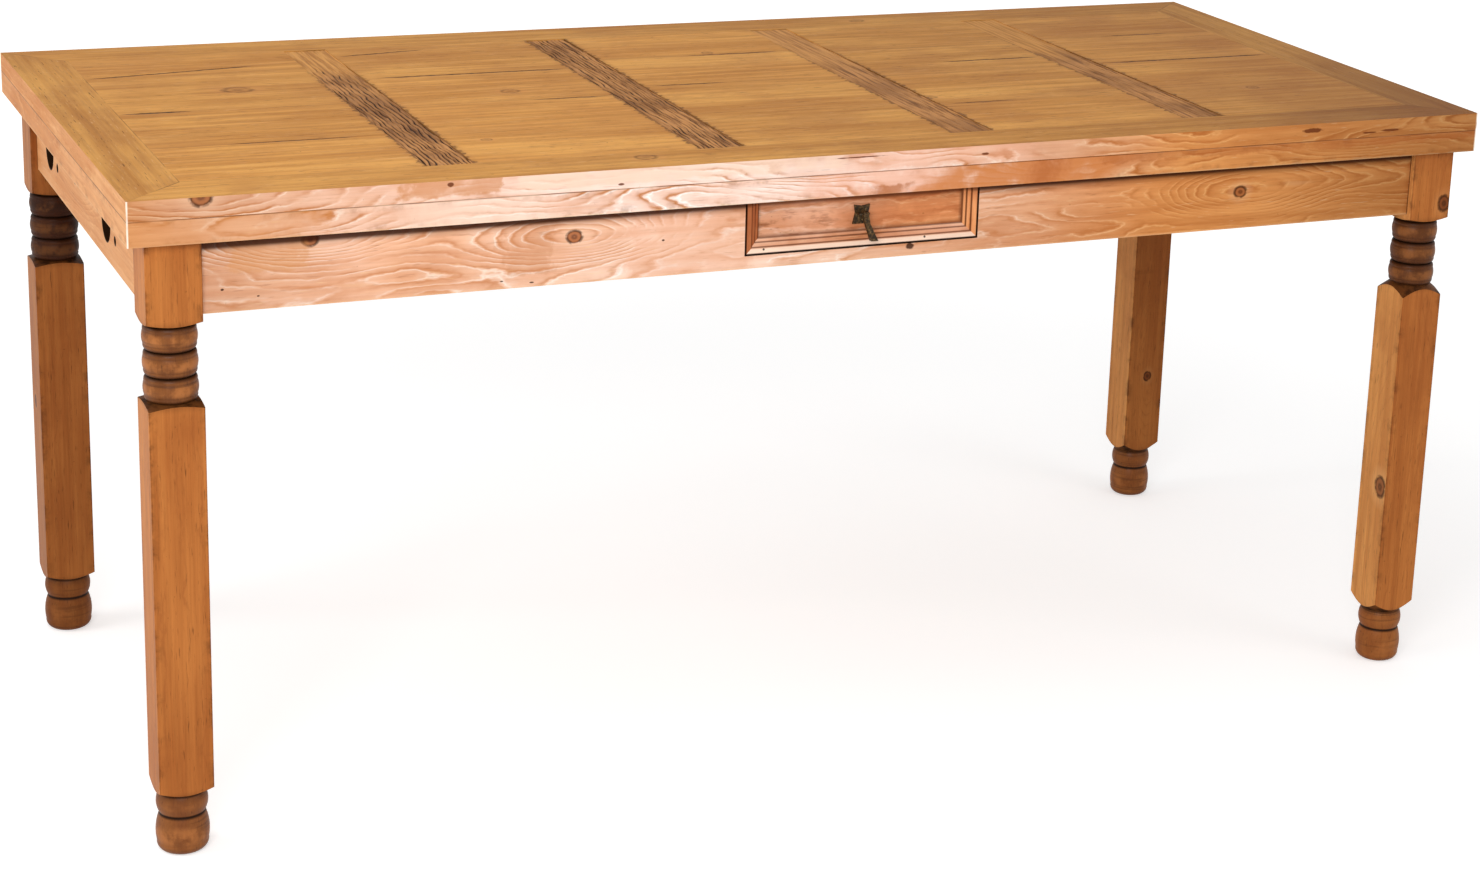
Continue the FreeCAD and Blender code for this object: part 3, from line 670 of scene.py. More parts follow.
class TABLE_OT_top(bpy.types.Operator):
    """Dress the top's frame, skirt and planks"""

    bl_idname = "tavern.dress_top"
    bl_label = "Dress the top"

    def execute(self, context):
        kinds = looks(table_settings())
        for index in range(len(PLANK_JOINTS)):
            dress("top_planks_%d" % (index + 1), self.planks(index, kinds["top"]), BEVEL["planks"])
        for side in SIDES:
            outer = kinds["skirt" if side == "front" else "end"]
            dress("top_frame_" + side, self.edge_board(side, kinds["top"], outer), BEVEL["frame"])
            dress("top_skirt_" + side, self.skirt(side, outer), BEVEL["skirt"])
        return {"FINISHED"}

    def planks(self, index, look):
        """One panel: each plank has its own grain and tone, some joints stand open, the strips stain its ends."""
        pine = Pine("planks_%d" % (index + 1), "xyz", 0.0, look)
        g = pine.g
        low, high = corners_of("top_planks_%d" % (index + 1))
        plank = float(index * (len(PLANK_JOINTS[index]) + 1))
        nearest = 1.0
        for share in PLANK_JOINTS[index]:
            joint = low.y + share * (high.y - low.y)
            plank = g.math("ADD", plank, g.math("GREATER_THAN", pine.y, joint))
            nearest = g.math("MINIMUM", nearest, g.gap(pine.y, joint))
        pine.seed = g.product(plank, 3.17)
        for x, y, radius in PANEL_KNOTS[index]:
            pine.knot(x, y, radius)
        pine.paint()
        pine.shade(g.scaled(g.math("SINE", g.product(plank, 5.3)), 0.045, 0.985))
        # Painted shade: the top darkens towards its right end, in patches
        painted_right_shade = g.product(g.ease(pine.x, 0.25, 0.80), pine.cloud(3.0, 0.3, 0.7, 3.0))
        pine.stain(painted_right_shade, srgb(146, 86, 40), 0.40)
        # Darker towards the right front corner
        pine.stain(g.product(g.ease(pine.x, 0.42, 0.80), g.ease(pine.y, 0.10, -0.33)), srgb(116, 60, 28), 0.42)
        seam = g.product(g.ease(nearest, 0.0014, 0.0003), pine.cloud(14.0, 0.42, 0.62, 3.0))
        pine.stain(seam, look["dark"], 0.42)
        pine.stain(g.ease(nearest, 0.016, 0.0), look["stain"], 0.22)
        for start, end, offset, slope, width in PANEL_CRACKS[index]:
            crack = g.use(shared(open_joint), Along=pine.x, Across=pine.y, Start=start, End=end, Offset=offset,
                          Slope=slope, Width=width)["Mask"]
            pine.stain(crack, srgb(44, 24, 12), 0.95)
            pine.cut(crack)
        for strip, end in ((index - 1, low.x), (index, high.x)):
            if 0 <= strip < len(STRIP_WEAR):
                self.strip_stain(pine, strip, end, look)
        return pine.finish()

    def strip_stain(self, pine, strip, end, look):
        """Dark chips along the end that meets a rough strip, none where the strip is smooth at the back."""
        g = pine.g
        back = STRIP_WEAR[strip][2]
        rough = 1.0 if back >= SMOOTH_BACK else g.ease(pine.y, 0.28, 0.04)
        away = g.gap(pine.x, end)
        chips = g.noise(g.vector(g.product(pine.x, 70.0), g.product(pine.y, 120.0), end), 1.0, 4.0, 0.7)
        reach = g.product(g.ease(chips, 0.40, 0.75), STRIP_STAIN_REACH)
        chipped = g.ease(g.minus(away, reach), 0.0012, -0.0005)
        pine.stain(g.product(chipped, rough), look["dark"], 0.75)
        pine.stain(g.product(g.ease(away, 0.012, 0.0), rough), look["stain"], 0.30)

    def edge_board(self, side, top, outer):
        """A frame board: top colours above, edge colours on its outer face."""
        number = SIDES.index(side)
        pine = Pine("top_frame_" + side, side_order(side, "top"), SEED["frame"] + number, top)
        for x, y, radius in TOP_FRAME_KNOTS[side]:
            pine.knot(x, y, radius)
        pine.paint()
        g = pine.g
        in_x, in_y = insets(pine)
        inner = g.math("MINIMUM", in_x, in_y)
        seam = g.gap(inner, size_of("top_frame_front").y)
        mitre = g.gap(in_x, in_y)
        broken = pine.cloud(18.0, 0.35, 0.60, 3.0)
        pine.shade(0.85 if side == "left" else 0.90)
        # Painted shade: the frame darkens towards its right end and its front
        painted_right_shade = g.product(g.ease(pine.x, 0.35, 0.82), g.scaled(g.ease(pine.y, 0.10, -0.30), 0.7, 0.3))
        pine.stain(painted_right_shade, srgb(104, 56, 28), 0.62)
        pine.stain(g.ease(seam, 0.006, 0.001), top["pale"], 0.35)
        pine.stain(g.product(g.ease(seam, 0.0016, 0.0003), broken), top["dark"], 0.55)
        pine.stain(g.product(g.ease(mitre, 0.0018, 0.0004), broken), top["dark"], 0.55)
        edge = Pine("top_edge_" + side, side_order(side, "edge"), SEED["edge"] + number, outer, base=pine)
        # Painted sheen on the edge's outer face
        edge.bleach = bleached(edge, side)
        if side == "front":
            edge.knot(*EDGE_KNOT)
        edge.paint()
        if side == "front":
            dim_ends(edge)
            patch_up(edge, EDGE_PATCHES)
            mark(edge, EDGE_MARKS, srgb(104, 48, 20))
        worn_corner(edge)
        outside = g.product(g.ease(pine.normal[2], 0.85, 0.35), g.ease(inner, 0.006, 0.004))
        pine.colour = g.mix(outside, pine.colour, edge.colour)
        return pine.finish()

    def skirt(self, side, look):
        """A bar under the frame's edge, with the dark seam between them: a joint, with painted shadow under the frame
        board.
        """
        pine = Pine("top_skirt_" + side, side_order(side, "edge"), SEED["skirt"] + SIDES.index(side), look)
        # Painted sheen on the skirt
        pine.bleach = bleached(pine, side)
        pine.boxed("top_skirt_" + side)
        pine.paint()
        g = pine.g
        if side == "front":
            dim_ends(pine)
            patch_up(pine, SKIRT_PATCHES)
        # Dark seam: a joint, with painted shadow under the frame board
        seam = g.ease(g.minus(corners_of("top_skirt_front")[1].z, pine.z), 0.0018, 0.0004)
        broken = g.scaled(pine.cloud(16.0, 0.30, 0.55, 3.0), 0.5, 0.5)
        pine.stain(g.product(seam, broken), srgb(104, 52, 22), 0.85)
        worn_corner(pine)
        return pine.finish()


# Rough strips

STRIP_COLUMN = 0.0008
STRIP_ROW = 0.003
GROOVE_PITCH = 0.0056
# How weathered each strip is at the front, in the middle and at the back, and between its sides
STRIP_WEAR = ((1.10, 1.05, 0.25, 1.0), (1.10, 1.0, 1.15, 1.0), (1.30, 0.75, 0.15, 0.40), (1.05, 0.95, -0.45, 0.40))
# Pale and deep tones of each strip where it is smooth
STRIP_TONES = (
    (srgb(206, 148, 80), srgb(170, 114, 58)),
    (srgb(200, 144, 80), srgb(166, 112, 60)),
    (srgb(204, 146, 82), srgb(168, 114, 62)),
    (srgb(206, 146, 78), srgb(176, 120, 60)),
)
STRIP_SIDE = 0.010


def weathering(strip, along_share, u, inset, v):
    """How brown and how deeply grooved a strip is at a place, 0 where it is like the top."""
    front, middle, back, core = STRIP_WEAR[strip]
    if along_share < 0.5:
        level = front + (middle - front) * along_share * 2
    else:
        level = middle + (back - middle) * (along_share * 2 - 1)
    patch = noise.noise(Vector((u * 30.0, v * 7.0, 20.0 + strip * 7.7)))
    level = max(0.0, min(1.15, level + 0.40 * patch))
    broken = 0.80 + 0.8 * noise.noise(Vector((u * 110.0, v * 24.0, 40.0 + strip * 5.9)))
    return level, level * broken * (core + (1.0 - core) * max(0.0, 1.0 - inset / STRIP_SIDE))


def groove_share(strip, u, v):
    """Depth of the wavy grooves along a strip, 0 on a ridge and 1 at the bottom."""
    warp = noise.noise(Vector((u * 26.0, v * 8.0, strip * 9.1))) * 0.0042
    warp += noise.noise(Vector((u * 90.0, v * 40.0, strip * 3.7))) * 0.0026
    phase = (u + warp) / GROOVE_PITCH
    ridge = abs(phase - math.floor(phase) - 0.5) * 2.0
    splinter = noise.noise(Vector((u * 600.0, v * 45.0, strip * 5.3)))
    return min(1.0, (1.0 - ridge) ** 3.0 + 0.50 * max(0.0, splinter))


def strip_mesh(strip, node, depth):
    """A grooved board that fills the strip's box; groove depth and weathering are kept for the colour."""
    low, high = corners_of(node)
    columns = round((high.x - low.x) / STRIP_COLUMN)
    rows = round((high.y - low.y) / STRIP_ROW)
    points, grooves, worn = [], [], []
    for row in range(rows + 1):
        y = low.y + (high.y - low.y) * row / rows
        for column in range(columns + 1):
            u = (high.x - low.x) * column / columns
            level, grooved = weathering(strip, row / rows, u, min(u, high.x - low.x - u), y)
            groove = groove_share(strip, u, y) * grooved
            points.append((low.x + u, y, high.z - depth * groove))
            grooves.append(groove)
            worn.append(level)
    width = columns + 1
    faces = [
        (r * width + c, r * width + c + 1, (r + 1) * width + c + 1, (r + 1) * width + c)
        for r in range(rows) for c in range(columns)
    ]
    rim = list(range(width))
    rim += [r * width + columns for r in range(1, rows + 1)]
    rim += [rows * width + c for c in range(columns - 1, -1, -1)]
    rim += [r * width for r in range(rows - 1, 0, -1)]
    base, count = len(points), len(rim)
    points += [(points[i][0], points[i][1], low.z) for i in rim]
    grooves += [1.0] * count
    worn += [1.0] * count
    faces += [(rim[(k + 1) % count], rim[k], base + k, base + (k + 1) % count) for k in range(count)]
    faces.append(tuple(base + k for k in range(count - 1, -1, -1)))
    mesh = bpy.data.meshes.new(node + "_grooved")
    mesh.from_pydata(points, [], faces)
    mesh.attributes.new("groove", "FLOAT", "POINT").data.foreach_set("value", grooves)
    mesh.attributes.new("worn", "FLOAT", "POINT").data.foreach_set("value", worn)
    mesh.update()
    return mesh


def strip_material(strip):
    """Weathered wood: dark in the grooves, brown on the ridges, like the top where it is smooth."""
    material, g = new_material("weathered_strip_%d" % (strip + 1))
    place = g.add("ShaderNodeTexCoord").outputs["Object"]
    x, y = g.split(place)[:2]
    groove = g.add("ShaderNodeAttribute", attribute_name="groove").outputs["Fac"]
    worn = g.add("ShaderNodeAttribute", attribute_name="worn").outputs["Fac"]
    streak = g.noise(g.vector(g.product(x, 210.0), g.product(y, 9.0), strip * 2.0), 1.0, 4.0, 0.65)
    patch = g.ease(g.noise(place, 11.0, 3.0), 0.38, 0.62)
    smooth = g.mix(g.ease(streak, 0.38, 0.62), *STRIP_TONES[strip])
    ridge = g.mix(patch, srgb(156, 106, 60), srgb(188, 132, 78))
    ridge = g.mix(g.ease(streak, 0.46, 0.66), ridge, srgb(112, 70, 36))
    colour = g.mix(g.ease(worn, 0.30, 0.90), smooth, ridge)
    colour = g.mix(g.ease(groove, 0.20, 0.62), colour, srgb(54, 30, 15))
    rough = g.scaled(streak, 0.2, 0.66)
    values = {"Base Color": colour, "Roughness": rough, "Specular IOR Level": 0.2}
    return surface(material, g, streak, 0.6, 0.0008, values)


class TABLE_OT_strips(bpy.types.Operator):
    """Replace the four cross strips by grooved, weathered ones"""

    bl_idname = "tavern.make_strips"
    bl_label = "Make the rough strips"

    def execute(self, context):
        depth = table_settings().groove_depth
        for strip in range(len(STRIP_WEAR)):
            node = "rough_strip_%d" % (strip + 1)
            piece = bpy.data.objects.new(node + "_weathered", strip_mesh(strip, node, depth))
            context.scene.collection.objects.link(piece)
            piece.data.materials.append(strip_material(strip))
            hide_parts(node)
            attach(piece, "table")
        return {"FINISHED"}


# Legs

BLOCK_FLOOR = {"front": 0.614, "back": 0.589}
BEADS_TALL = 0.0855
RING_TOP = 0.072
GROOVE_RADIUS = 0.0250
BEAD_RADIUS = 0.0295
# Radii between which a bead's crown begins, and heights between which the foot's ring begins
CROWN = (0.0276, 0.0297)
RING_ZONE = (0.034, 0.044)
# Painted shade of each leg, darkest at the back, and the strengths of the dark wax on its beads and its foot, which
# carry painted shade too
LEG_TONES = {
    "leg_front_left": (0.97, 0.54, 0.52),
    "leg_front_right": (1.02, 0.77, 0.30),
    "leg_back_left": (0.74, 1.00, 0.40),
    "leg_back_right": (0.72, 0.70, 0.30),
}
# How much paler the left face of each leg is painted, as light from the left
LIT_LEFT_FACES = {
    "leg_front_left": (1.16, 1.24, 1.28),
    "leg_front_right": (1.58, 2.10, 2.60),
    "leg_back_left": (1.16, 1.24, 1.28),
    "leg_back_right": (1.90, 2.40, 2.95),
}
# Knots: height, place across, radius, and the axis that the place is on
LEG_KNOTS = {
    "leg_front_right": ((0.639, 0.821, 0.0085, "x"), (0.251, -0.362, 0.011, "y")),
    "leg_back_right": ((0.196, 0.803, 0.006, "x"),),
    "leg_back_left": ((0.31, 0.352, 0.006, "y"),),
}


class TABLE_OT_legs(bpy.types.Operator):
    """Dress the four turned legs"""

    bl_idname = "tavern.dress_legs"
    bl_label = "Dress the legs"

    def execute(self, context):
        look = looks(table_settings())["leg"]
        for node in LEGS:
            dress(node, self.turned(node, look))
        return {"FINISHED"}

    def turned(self, node, look):
        """Grain up the leg, dark wax with painted shade on the beads and foot, dark wax in the grooves and on the
        shoulders, painted shade on the bead flanks, painted highlights on the bead crowns and painted light on the left
        faces.
        """
        pine = Pine(node + "_pine", "zxy", SEED["leg"] + 4.7 * LEGS.index(node), look)
        for height, place, radius, letter in LEG_KNOTS.get(node, ()):
            pine.knot(height, place, radius, letter)
        pine.boxed(node)
        pine.paint()
        g = pine.g
        centre = centre_of(node)
        radius = g.distance(g.minus(pine.x, centre.x), g.minus(pine.y, centre.y))
        beads_high = BLOCK_FLOOR["front" if "front" in node else "back"]
        beads_low = beads_high - BEADS_TALL
        beads = g.product(g.ease(pine.z, beads_low - 0.001, beads_low + 0.002),
                          g.ease(pine.z, beads_high + 0.002, beads_high - 0.001))
        foot = g.ease(pine.z, RING_TOP + 0.001, RING_TOP - 0.002)
        lathe = g.math("ADD", beads, foot, clamp=True)
        square = g.rest(lathe)
        # Patches for the painted highlights on the crowns and for the wax on the shoulders
        highlight_and_wax_patches = pine.cloud(46.0, 0.40, 0.62, 4.0, 0.6)
        turns = g.vector(g.product(pine.x, 12.0), g.product(pine.y, 12.0), g.product(pine.z, 260.0))
        shade, bead_wax_and_shade, foot_wax_and_shade = LEG_TONES[node]
        # Painted shade: each leg is darker or lighter by how the light falls on it, the back legs darkest
        pine.shade(shade)
        # Dark wax on the beads and the foot, in strengths that also carry painted shade
        pine.stain(beads, look["dark"], bead_wax_and_shade)
        pine.stain(foot, look["dark"], foot_wax_and_shade)
        crown = g.ease(radius, *CROWN)
        # Painted shade on the flanks of the beads, to round them
        pine.stain(g.product(beads, g.rest(crown)), srgb(62, 26, 8), 0.50)
        # Painted highlights on the bead crowns, in patches
        pine.stain(g.product(lathe, highlight_and_wax_patches, crown), srgb(206, 130, 70), 0.06 + 0.68 * (1.1 - bead_wax_and_shade))
        pine.stain(g.product(lathe, g.ease(g.noise(turns, 1.0, 3.0), 0.55, 0.70)), look["dark"], 0.35)
        deep = g.ease(radius, BEAD_RADIUS - 0.0006, GROOVE_RADIUS + 0.0006)
        ring = g.ease(radius, GROOVE_RADIUS + 0.0014, GROOVE_RADIUS + 0.0002)
        ring = g.product(foot, ring, g.ease(pine.z, *RING_ZONE))
        groove = g.math("ADD", g.product(beads, deep), ring, clamp=True)
        pine.stain(groove, srgb(26, 12, 5), 0.95)
        pine.coat = g.product(g.minus(lathe, groove, clamp=True), 0.30 * (1.1 - bead_wax_and_shade))
        shoulder = g.product(g.ease(g.plain(pine.normal[2]), 0.12, 0.40), square)
        pine.stain(g.product(shoulder, g.scaled(highlight_and_wax_patches, 0.3, 0.7)), srgb(28, 14, 6), 0.95)
        # Painted light: the left faces of the square parts are paler
        lit_left_face = g.product(g.ease(pine.normal[0], -0.6, -0.9), square)
        paler = g.add("ShaderNodeVectorMath", {0: pine.colour, 1: LIT_LEFT_FACES[node]}, operation="MULTIPLY")
        pine.colour = g.mix(lit_left_face, pine.colour, paler.outputs[0])
        for level in (beads_high, beads_low, RING_TOP):
            pine.stain(g.ease(g.gap(pine.z, level), 0.010, 0.0), look["dark"], 0.30)
        return pine.finish()


# Aprons

APRON_KNOTS = {
    "front": ((-0.356, 0.680, 0.0074), (-0.653, 0.699, 0.0070), (0.515, 0.673, 0.0070)),
    "back": ((0.42, 0.665, 0.010), (-0.23, 0.690, 0.007)),
    "left": ((0.06, 0.675, 0.006),),
    "right": ((-0.09, 0.660, 0.008),),
}
# Distances below an apron's upper edge between which the shadow under the top fades in, on the apron and on the panel
APRON_SHADOW = (0.0128, 0.0082)
PANEL_SHADOW = (0.0150, 0.0105)
# Round holes through the end aprons: place along the apron, height, radius
END_HOLES = ((-0.125, 0.672, 0.025), (0.225, 0.672, 0.025), (-0.175, 0.660, 0.005), (0.175, 0.660, 0.005))


class TABLE_OT_aprons(bpy.types.Operator):
    """Dress the four aprons"""

    bl_idname = "tavern.dress_aprons"
    bl_label = "Dress the aprons"

    def execute(self, context):
        kinds = looks(table_settings())
        for side in SIDES:
            look = kinds["front" if side == "front" else "end"]
            node = "apron_" + side
            seed = SEED["apron"] + 2.3 * SIDES.index(side)
            pine = Pine(node + "_pine", side_order(side, "edge"), seed, look)
            # Painted sheen on the apron
            pine.bleach = bleached(pine, side, -1.15, 0.85)
            for along, height, radius in APRON_KNOTS[side]:
                pine.knot(along, height, radius)
            pine.paint()
            if side == "front":
                dim_ends(pine)
                patch_up(pine, APRON_PATCHES)
                mark(pine, APRON_MARKS, srgb(48, 20, 8))
            self.grime(pine, node, look)
            # Painted shade: faces that look sideways or up, as in the drawer opening, are nearly black
            if side == "front":
                for facing in (pine.g.plain(pine.normal[0]), pine.normal[2]):
                    pine.stain(pine.g.ease(facing, 0.5, 0.8), srgb(40, 16, 5), 0.95)
            if side in ("left", "right"):
                self.sooty_holes(pine)
            dress(node, pine.finish(), BEVEL["apron"])
        return {"FINISHED"}

    def grime(self, pine, node, look):
        """Painted shadow under the top, a dark line at the legs that is a joint with painted shade, and the worn colour
        along the lower edge.
        """
        g = pine.g
        low, high = corners_of(node)
        if node in ("apron_front", "apron_back"):
            reach = corners_of("leg_front_right")[0].x
        else:
            reach = -corners_of("leg_front_left")[1].y
        below = g.minus(high.z, pine.z)
        # Painted shadow under the top's overhang
        pine.stain(g.ease(below, 0.020, 0.006), look["dark"], 0.50)
        # A crisp painted shadow line just under the top, thicker towards the left
        left = g.math("MAXIMUM", g.product(pine.x, -0.0036), 0.0)
        pine.stain(g.ease(g.minus(below, left), *APRON_SHADOW), srgb(56, 20, 4), 0.88)
        # A dark line at the legs: a joint with painted shade
        pine.stain(g.ease(g.minus(reach, g.plain(pine.along)), 0.0020, 0.0003), look["dark"], 0.85)
        pine.stain(g.ease(g.minus(pine.z, low.z), 0.0030, 0.0), look["worn"], 0.30)

    def sooty_holes(self, pine):
        """Painted shade: the holes' walls and rims are nearly black."""
        for along, height, radius in END_HOLES:
            pine.spot(pine.y, along, height, radius + 0.0012, radius + 0.0004, srgb(12, 7, 4), 0.97)


# Drawer

DRAWER_INNER = ("drawer_side_left", "drawer_side_right", "drawer_back", "drawer_bottom")
MOULDING_STEPS = (0.0071, 0.0122, 0.0166)
MOULDING_BAND = 0.0068
NAILS = ((-0.126, 0.6475), (0.080, 0.6475))
NAIL_RADIUS = 0.0013


class TABLE_OT_drawer(bpy.types.Operator):
    """Dress the drawer's front, moulding and box"""

    bl_idname = "tavern.dress_drawer"
    bl_label = "Dress the drawer"

    def execute(self, context):
        kinds = looks(table_settings())
        front = dict(kinds["front"], pale=srgb(243, 168, 112), deep=srgb(214, 131, 76), line=srgb(246, 188, 136),
                     line_strength=0.45, blotch=0.55, stain=srgb(176, 98, 56), waviness=2.0, speck=0.6)
        dress("drawer_front", self.panel(front), BEVEL["panel"])
        for side in ("left", "right", "bottom"):
            dress("drawer_moulding_" + side, self.moulding(side, front))
        for index, node in enumerate(DRAWER_INNER):
            order = {"drawer_bottom": "yxz", "drawer_back": "xzy"}.get(node, "yzx")
            dress_inner(node, order, SEED["box"] + index, kinds["inner"])
        return {"FINISHED"}

    def panel(self, look):
        """The front board: paler at the left with painted sheen, smudged, with painted shade along the moulding, and
        darker with painted shadow under the top.
        """
        pine = Pine("drawer_panel_pine", "xzy", SEED["panel"], look)
        g = pine.g
        # Painted sheen: the panel is paler at the left
        pine.bleach = g.product(g.ease(pine.x, 0.08, -0.12), 0.72)
        pine.paint()
        low, high = corners_of("drawer_front")
        rim = size_of("drawer_moulding_left").x
        in_x = g.minus(high.x - rim, g.plain(pine.x))
        in_z = g.minus(pine.z, low.z + rim)
        corner = g.math("MINIMUM", in_x, in_z)
        # Painted shade along the moulding, where the panel lies back
        pine.stain(g.ease(corner, 0.005, 0.0), look["dark"], 0.4)
        flat = g.vector(g.product(pine.x, 30.0), 0.0, g.product(pine.z, 130.0))
        smudge = g.ease(g.noise(flat, 1.0, 4.0, 0.65), 0.50, 0.66)
        low_left = g.product(g.ease(pine.x, 0.02, -0.10), g.ease(in_z, 0.045, 0.010))
        pine.stain(g.product(smudge, g.scaled(low_left, 0.85, 0.15)), srgb(118, 62, 30), 0.68)
        pine.stain(g.ease(g.minus(high.z, pine.z), 0.012, 0.0), look["stain"], 0.7)
        self.top_shadow(pine, PANEL_SHADOW)
        return pine.finish()

    def top_shadow(self, pine, shadow):
        """Painted shadow under the top's overhang."""
        below = pine.g.minus(corners_of("apron_front")[1].z, pine.z)
        pine.stain(pine.g.ease(below, *shadow), srgb(72, 30, 10), 0.72)

    def moulding(self, side, look):
        """A pale outer band, then painted shade as dark lines in the steps and along the inner edge; two nails hold the
        lower one.
        """
        lower = side == "bottom"
        pine = Pine("drawer_moulding_%s_pine" % side, "xzy" if lower else "zxy", SEED["moulding"], look)
        # Painted sheen on the lower moulding
        pine.bleach = 0.55 if lower else 0.0
        pine.paint()
        g = pine.g
        if side == "left":
            pine.stain(1.0, srgb(150, 74, 40), 0.72)
        low, high = corners_of("drawer_front")
        inward = g.minus(pine.z, low.z) if lower else g.minus(high.x, g.plain(pine.x))
        if lower:
            pine.stain(g.ease(inward, MOULDING_BAND, MOULDING_BAND - 0.002), srgb(252, 226, 204), 0.72)
        # Painted shade: dark lines in the steps
        for step in MOULDING_STEPS:
            pine.stain(g.ease(g.gap(inward, step), 0.0012, 0.0003), srgb(70, 28, 8), 0.62 if lower else 0.8)
        # Painted shade along the inner edge
        pine.stain(g.ease(inward, 0.0012, 0.0002), srgb(48, 18, 5), 0.9)
        if not lower:
            self.top_shadow(pine, APRON_SHADOW)
        for x, z in NAILS:
            pine.spot(pine.x, x, z, NAIL_RADIUS * 1.3, NAIL_RADIUS * 0.8, srgb(28, 16, 10), 0.9)
        return pine.finish()


# Iron

class TABLE_OT_iron(bpy.types.Operator):
    """Dress the iron pull and the corner bolts"""

    bl_idname = "tavern.dress_iron"
    bl_label = "Dress the iron"

    def execute(self, context):
        material = self.forged()
        for node, bevel in (("pull_plate", 0.0005), ("pull_staple", 0.0), ("pull_drop", 0.0008), ("corner_bolts", 0.0)):
            dress(node, material, bevel)
        return {"FINISHED"}

    def forged(self):
        """Hammered dark iron with brown and olive rust, with painted highlights on its high spots."""
        material, g = new_material("forged_iron")
        place = g.add("ShaderNodeTexCoord").outputs["Object"]
        rust = g.ease(g.noise(place, 260.0, 4.0, 0.65), 0.42, 0.66)
        dents = g.noise(place, 190.0, 2.0)
        colour = g.mix(rust, srgb(46, 34, 20), srgb(92, 68, 38))
        # Painted highlights on the high spots of the dents
        colour = g.mix(g.ease(dents, 0.58, 0.72), colour, srgb(122, 96, 60))
        rough = g.scaled(rust, 0.25, 0.42)
        values = {"Base Color": colour, "Roughness": rough, "Metallic": 0.4, "Specular IOR Level": 0.25}
        return surface(material, g, dents, 0.8, 0.0012, values)


# Pieces underneath

INNER_STARTS = ("top_batten", "corner_brace", "top_glue", "drawer_runner", "drawer_guide", "drawer_stops")


class TABLE_OT_inner(bpy.types.Operator):
    """Dress the battens, braces, glue blocks and drawer carriers under the top"""

    bl_idname = "tavern.dress_inner"
    bl_label = "Dress the pieces underneath"

    def execute(self, context):
        look = looks(table_settings())["inner"]
        inner = sorted(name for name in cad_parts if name.startswith(INNER_STARTS))
        for index, node in enumerate(inner):
            order = "xyz" if node.startswith(("top_glue", "corner_brace")) else "yxz"
            dress_inner(node, order, SEED["inner"] + 1.9 * index, look)
        return {"FINISHED"}


# Stage

CAMERA_PLACE = Vector((-1.4306, -3.4505, 1.5599))
CAMERA_YAW = 0.4782
CAMERA_PITCH = -0.2780
CAMERA_ROLL = 0.0510
IMAGE_WIDTH = 1480.0
IMAGE_HEIGHT = 874.0
FOCAL_PIXELS = 2994.4
OPTICAL_CENTRE = (987.5, 294.5)
SENSOR = 36.0
WORLD_LIGHT = 0.50
WHITE = (1.0, 1.0, 1.0, 1.0)
FLOOR_TONE = (0.80, 0.80, 0.80, 1.0)
FLOOR_REACH = 14.0
# The floor's glow near the table and far from it, and the distances between which it changes
FLOOR_GLOW = 0.47
FAR_GLOW = 0.75
GLOW_ZONE = (1.2, 3.2)
# Softboxes: name, place, target, width and height, and the setting that holds the power
SOFTBOXES = (
    ("key_light", (-1.5, -2.6, 1.8), (-0.35, -0.2, 0.60), (1.6, 1.2), "key_power"),
    ("fill_light", (2.6, -2.6, 1.6), (0.4, 0.0, 0.5), (1.6, 1.6), "fill_power"),
    ("end_light", (-3.2, 0.3, 1.6), (-0.8, 0.0, 0.5), (1.4, 1.4), "end_power"),
    ("top_light", (-0.7, -0.1, 2.6), (-0.5, 0.0, 0.76), (1.8, 1.0), "top_power"),
)


def camera_turn():
    """Axes of the camera from its heading, tilt and roll."""
    flat = math.cos(CAMERA_PITCH)
    ahead = Vector((math.sin(CAMERA_YAW) * flat, math.cos(CAMERA_YAW) * flat, math.sin(CAMERA_PITCH)))
    level = Vector((math.cos(CAMERA_YAW), -math.sin(CAMERA_YAW), 0.0))
    upright = level.cross(ahead)
    right = math.cos(CAMERA_ROLL) * level + math.sin(CAMERA_ROLL) * upright
    up = -math.sin(CAMERA_ROLL) * level + math.cos(CAMERA_ROLL) * upright
    return Matrix((right, up, -ahead)).transposed()


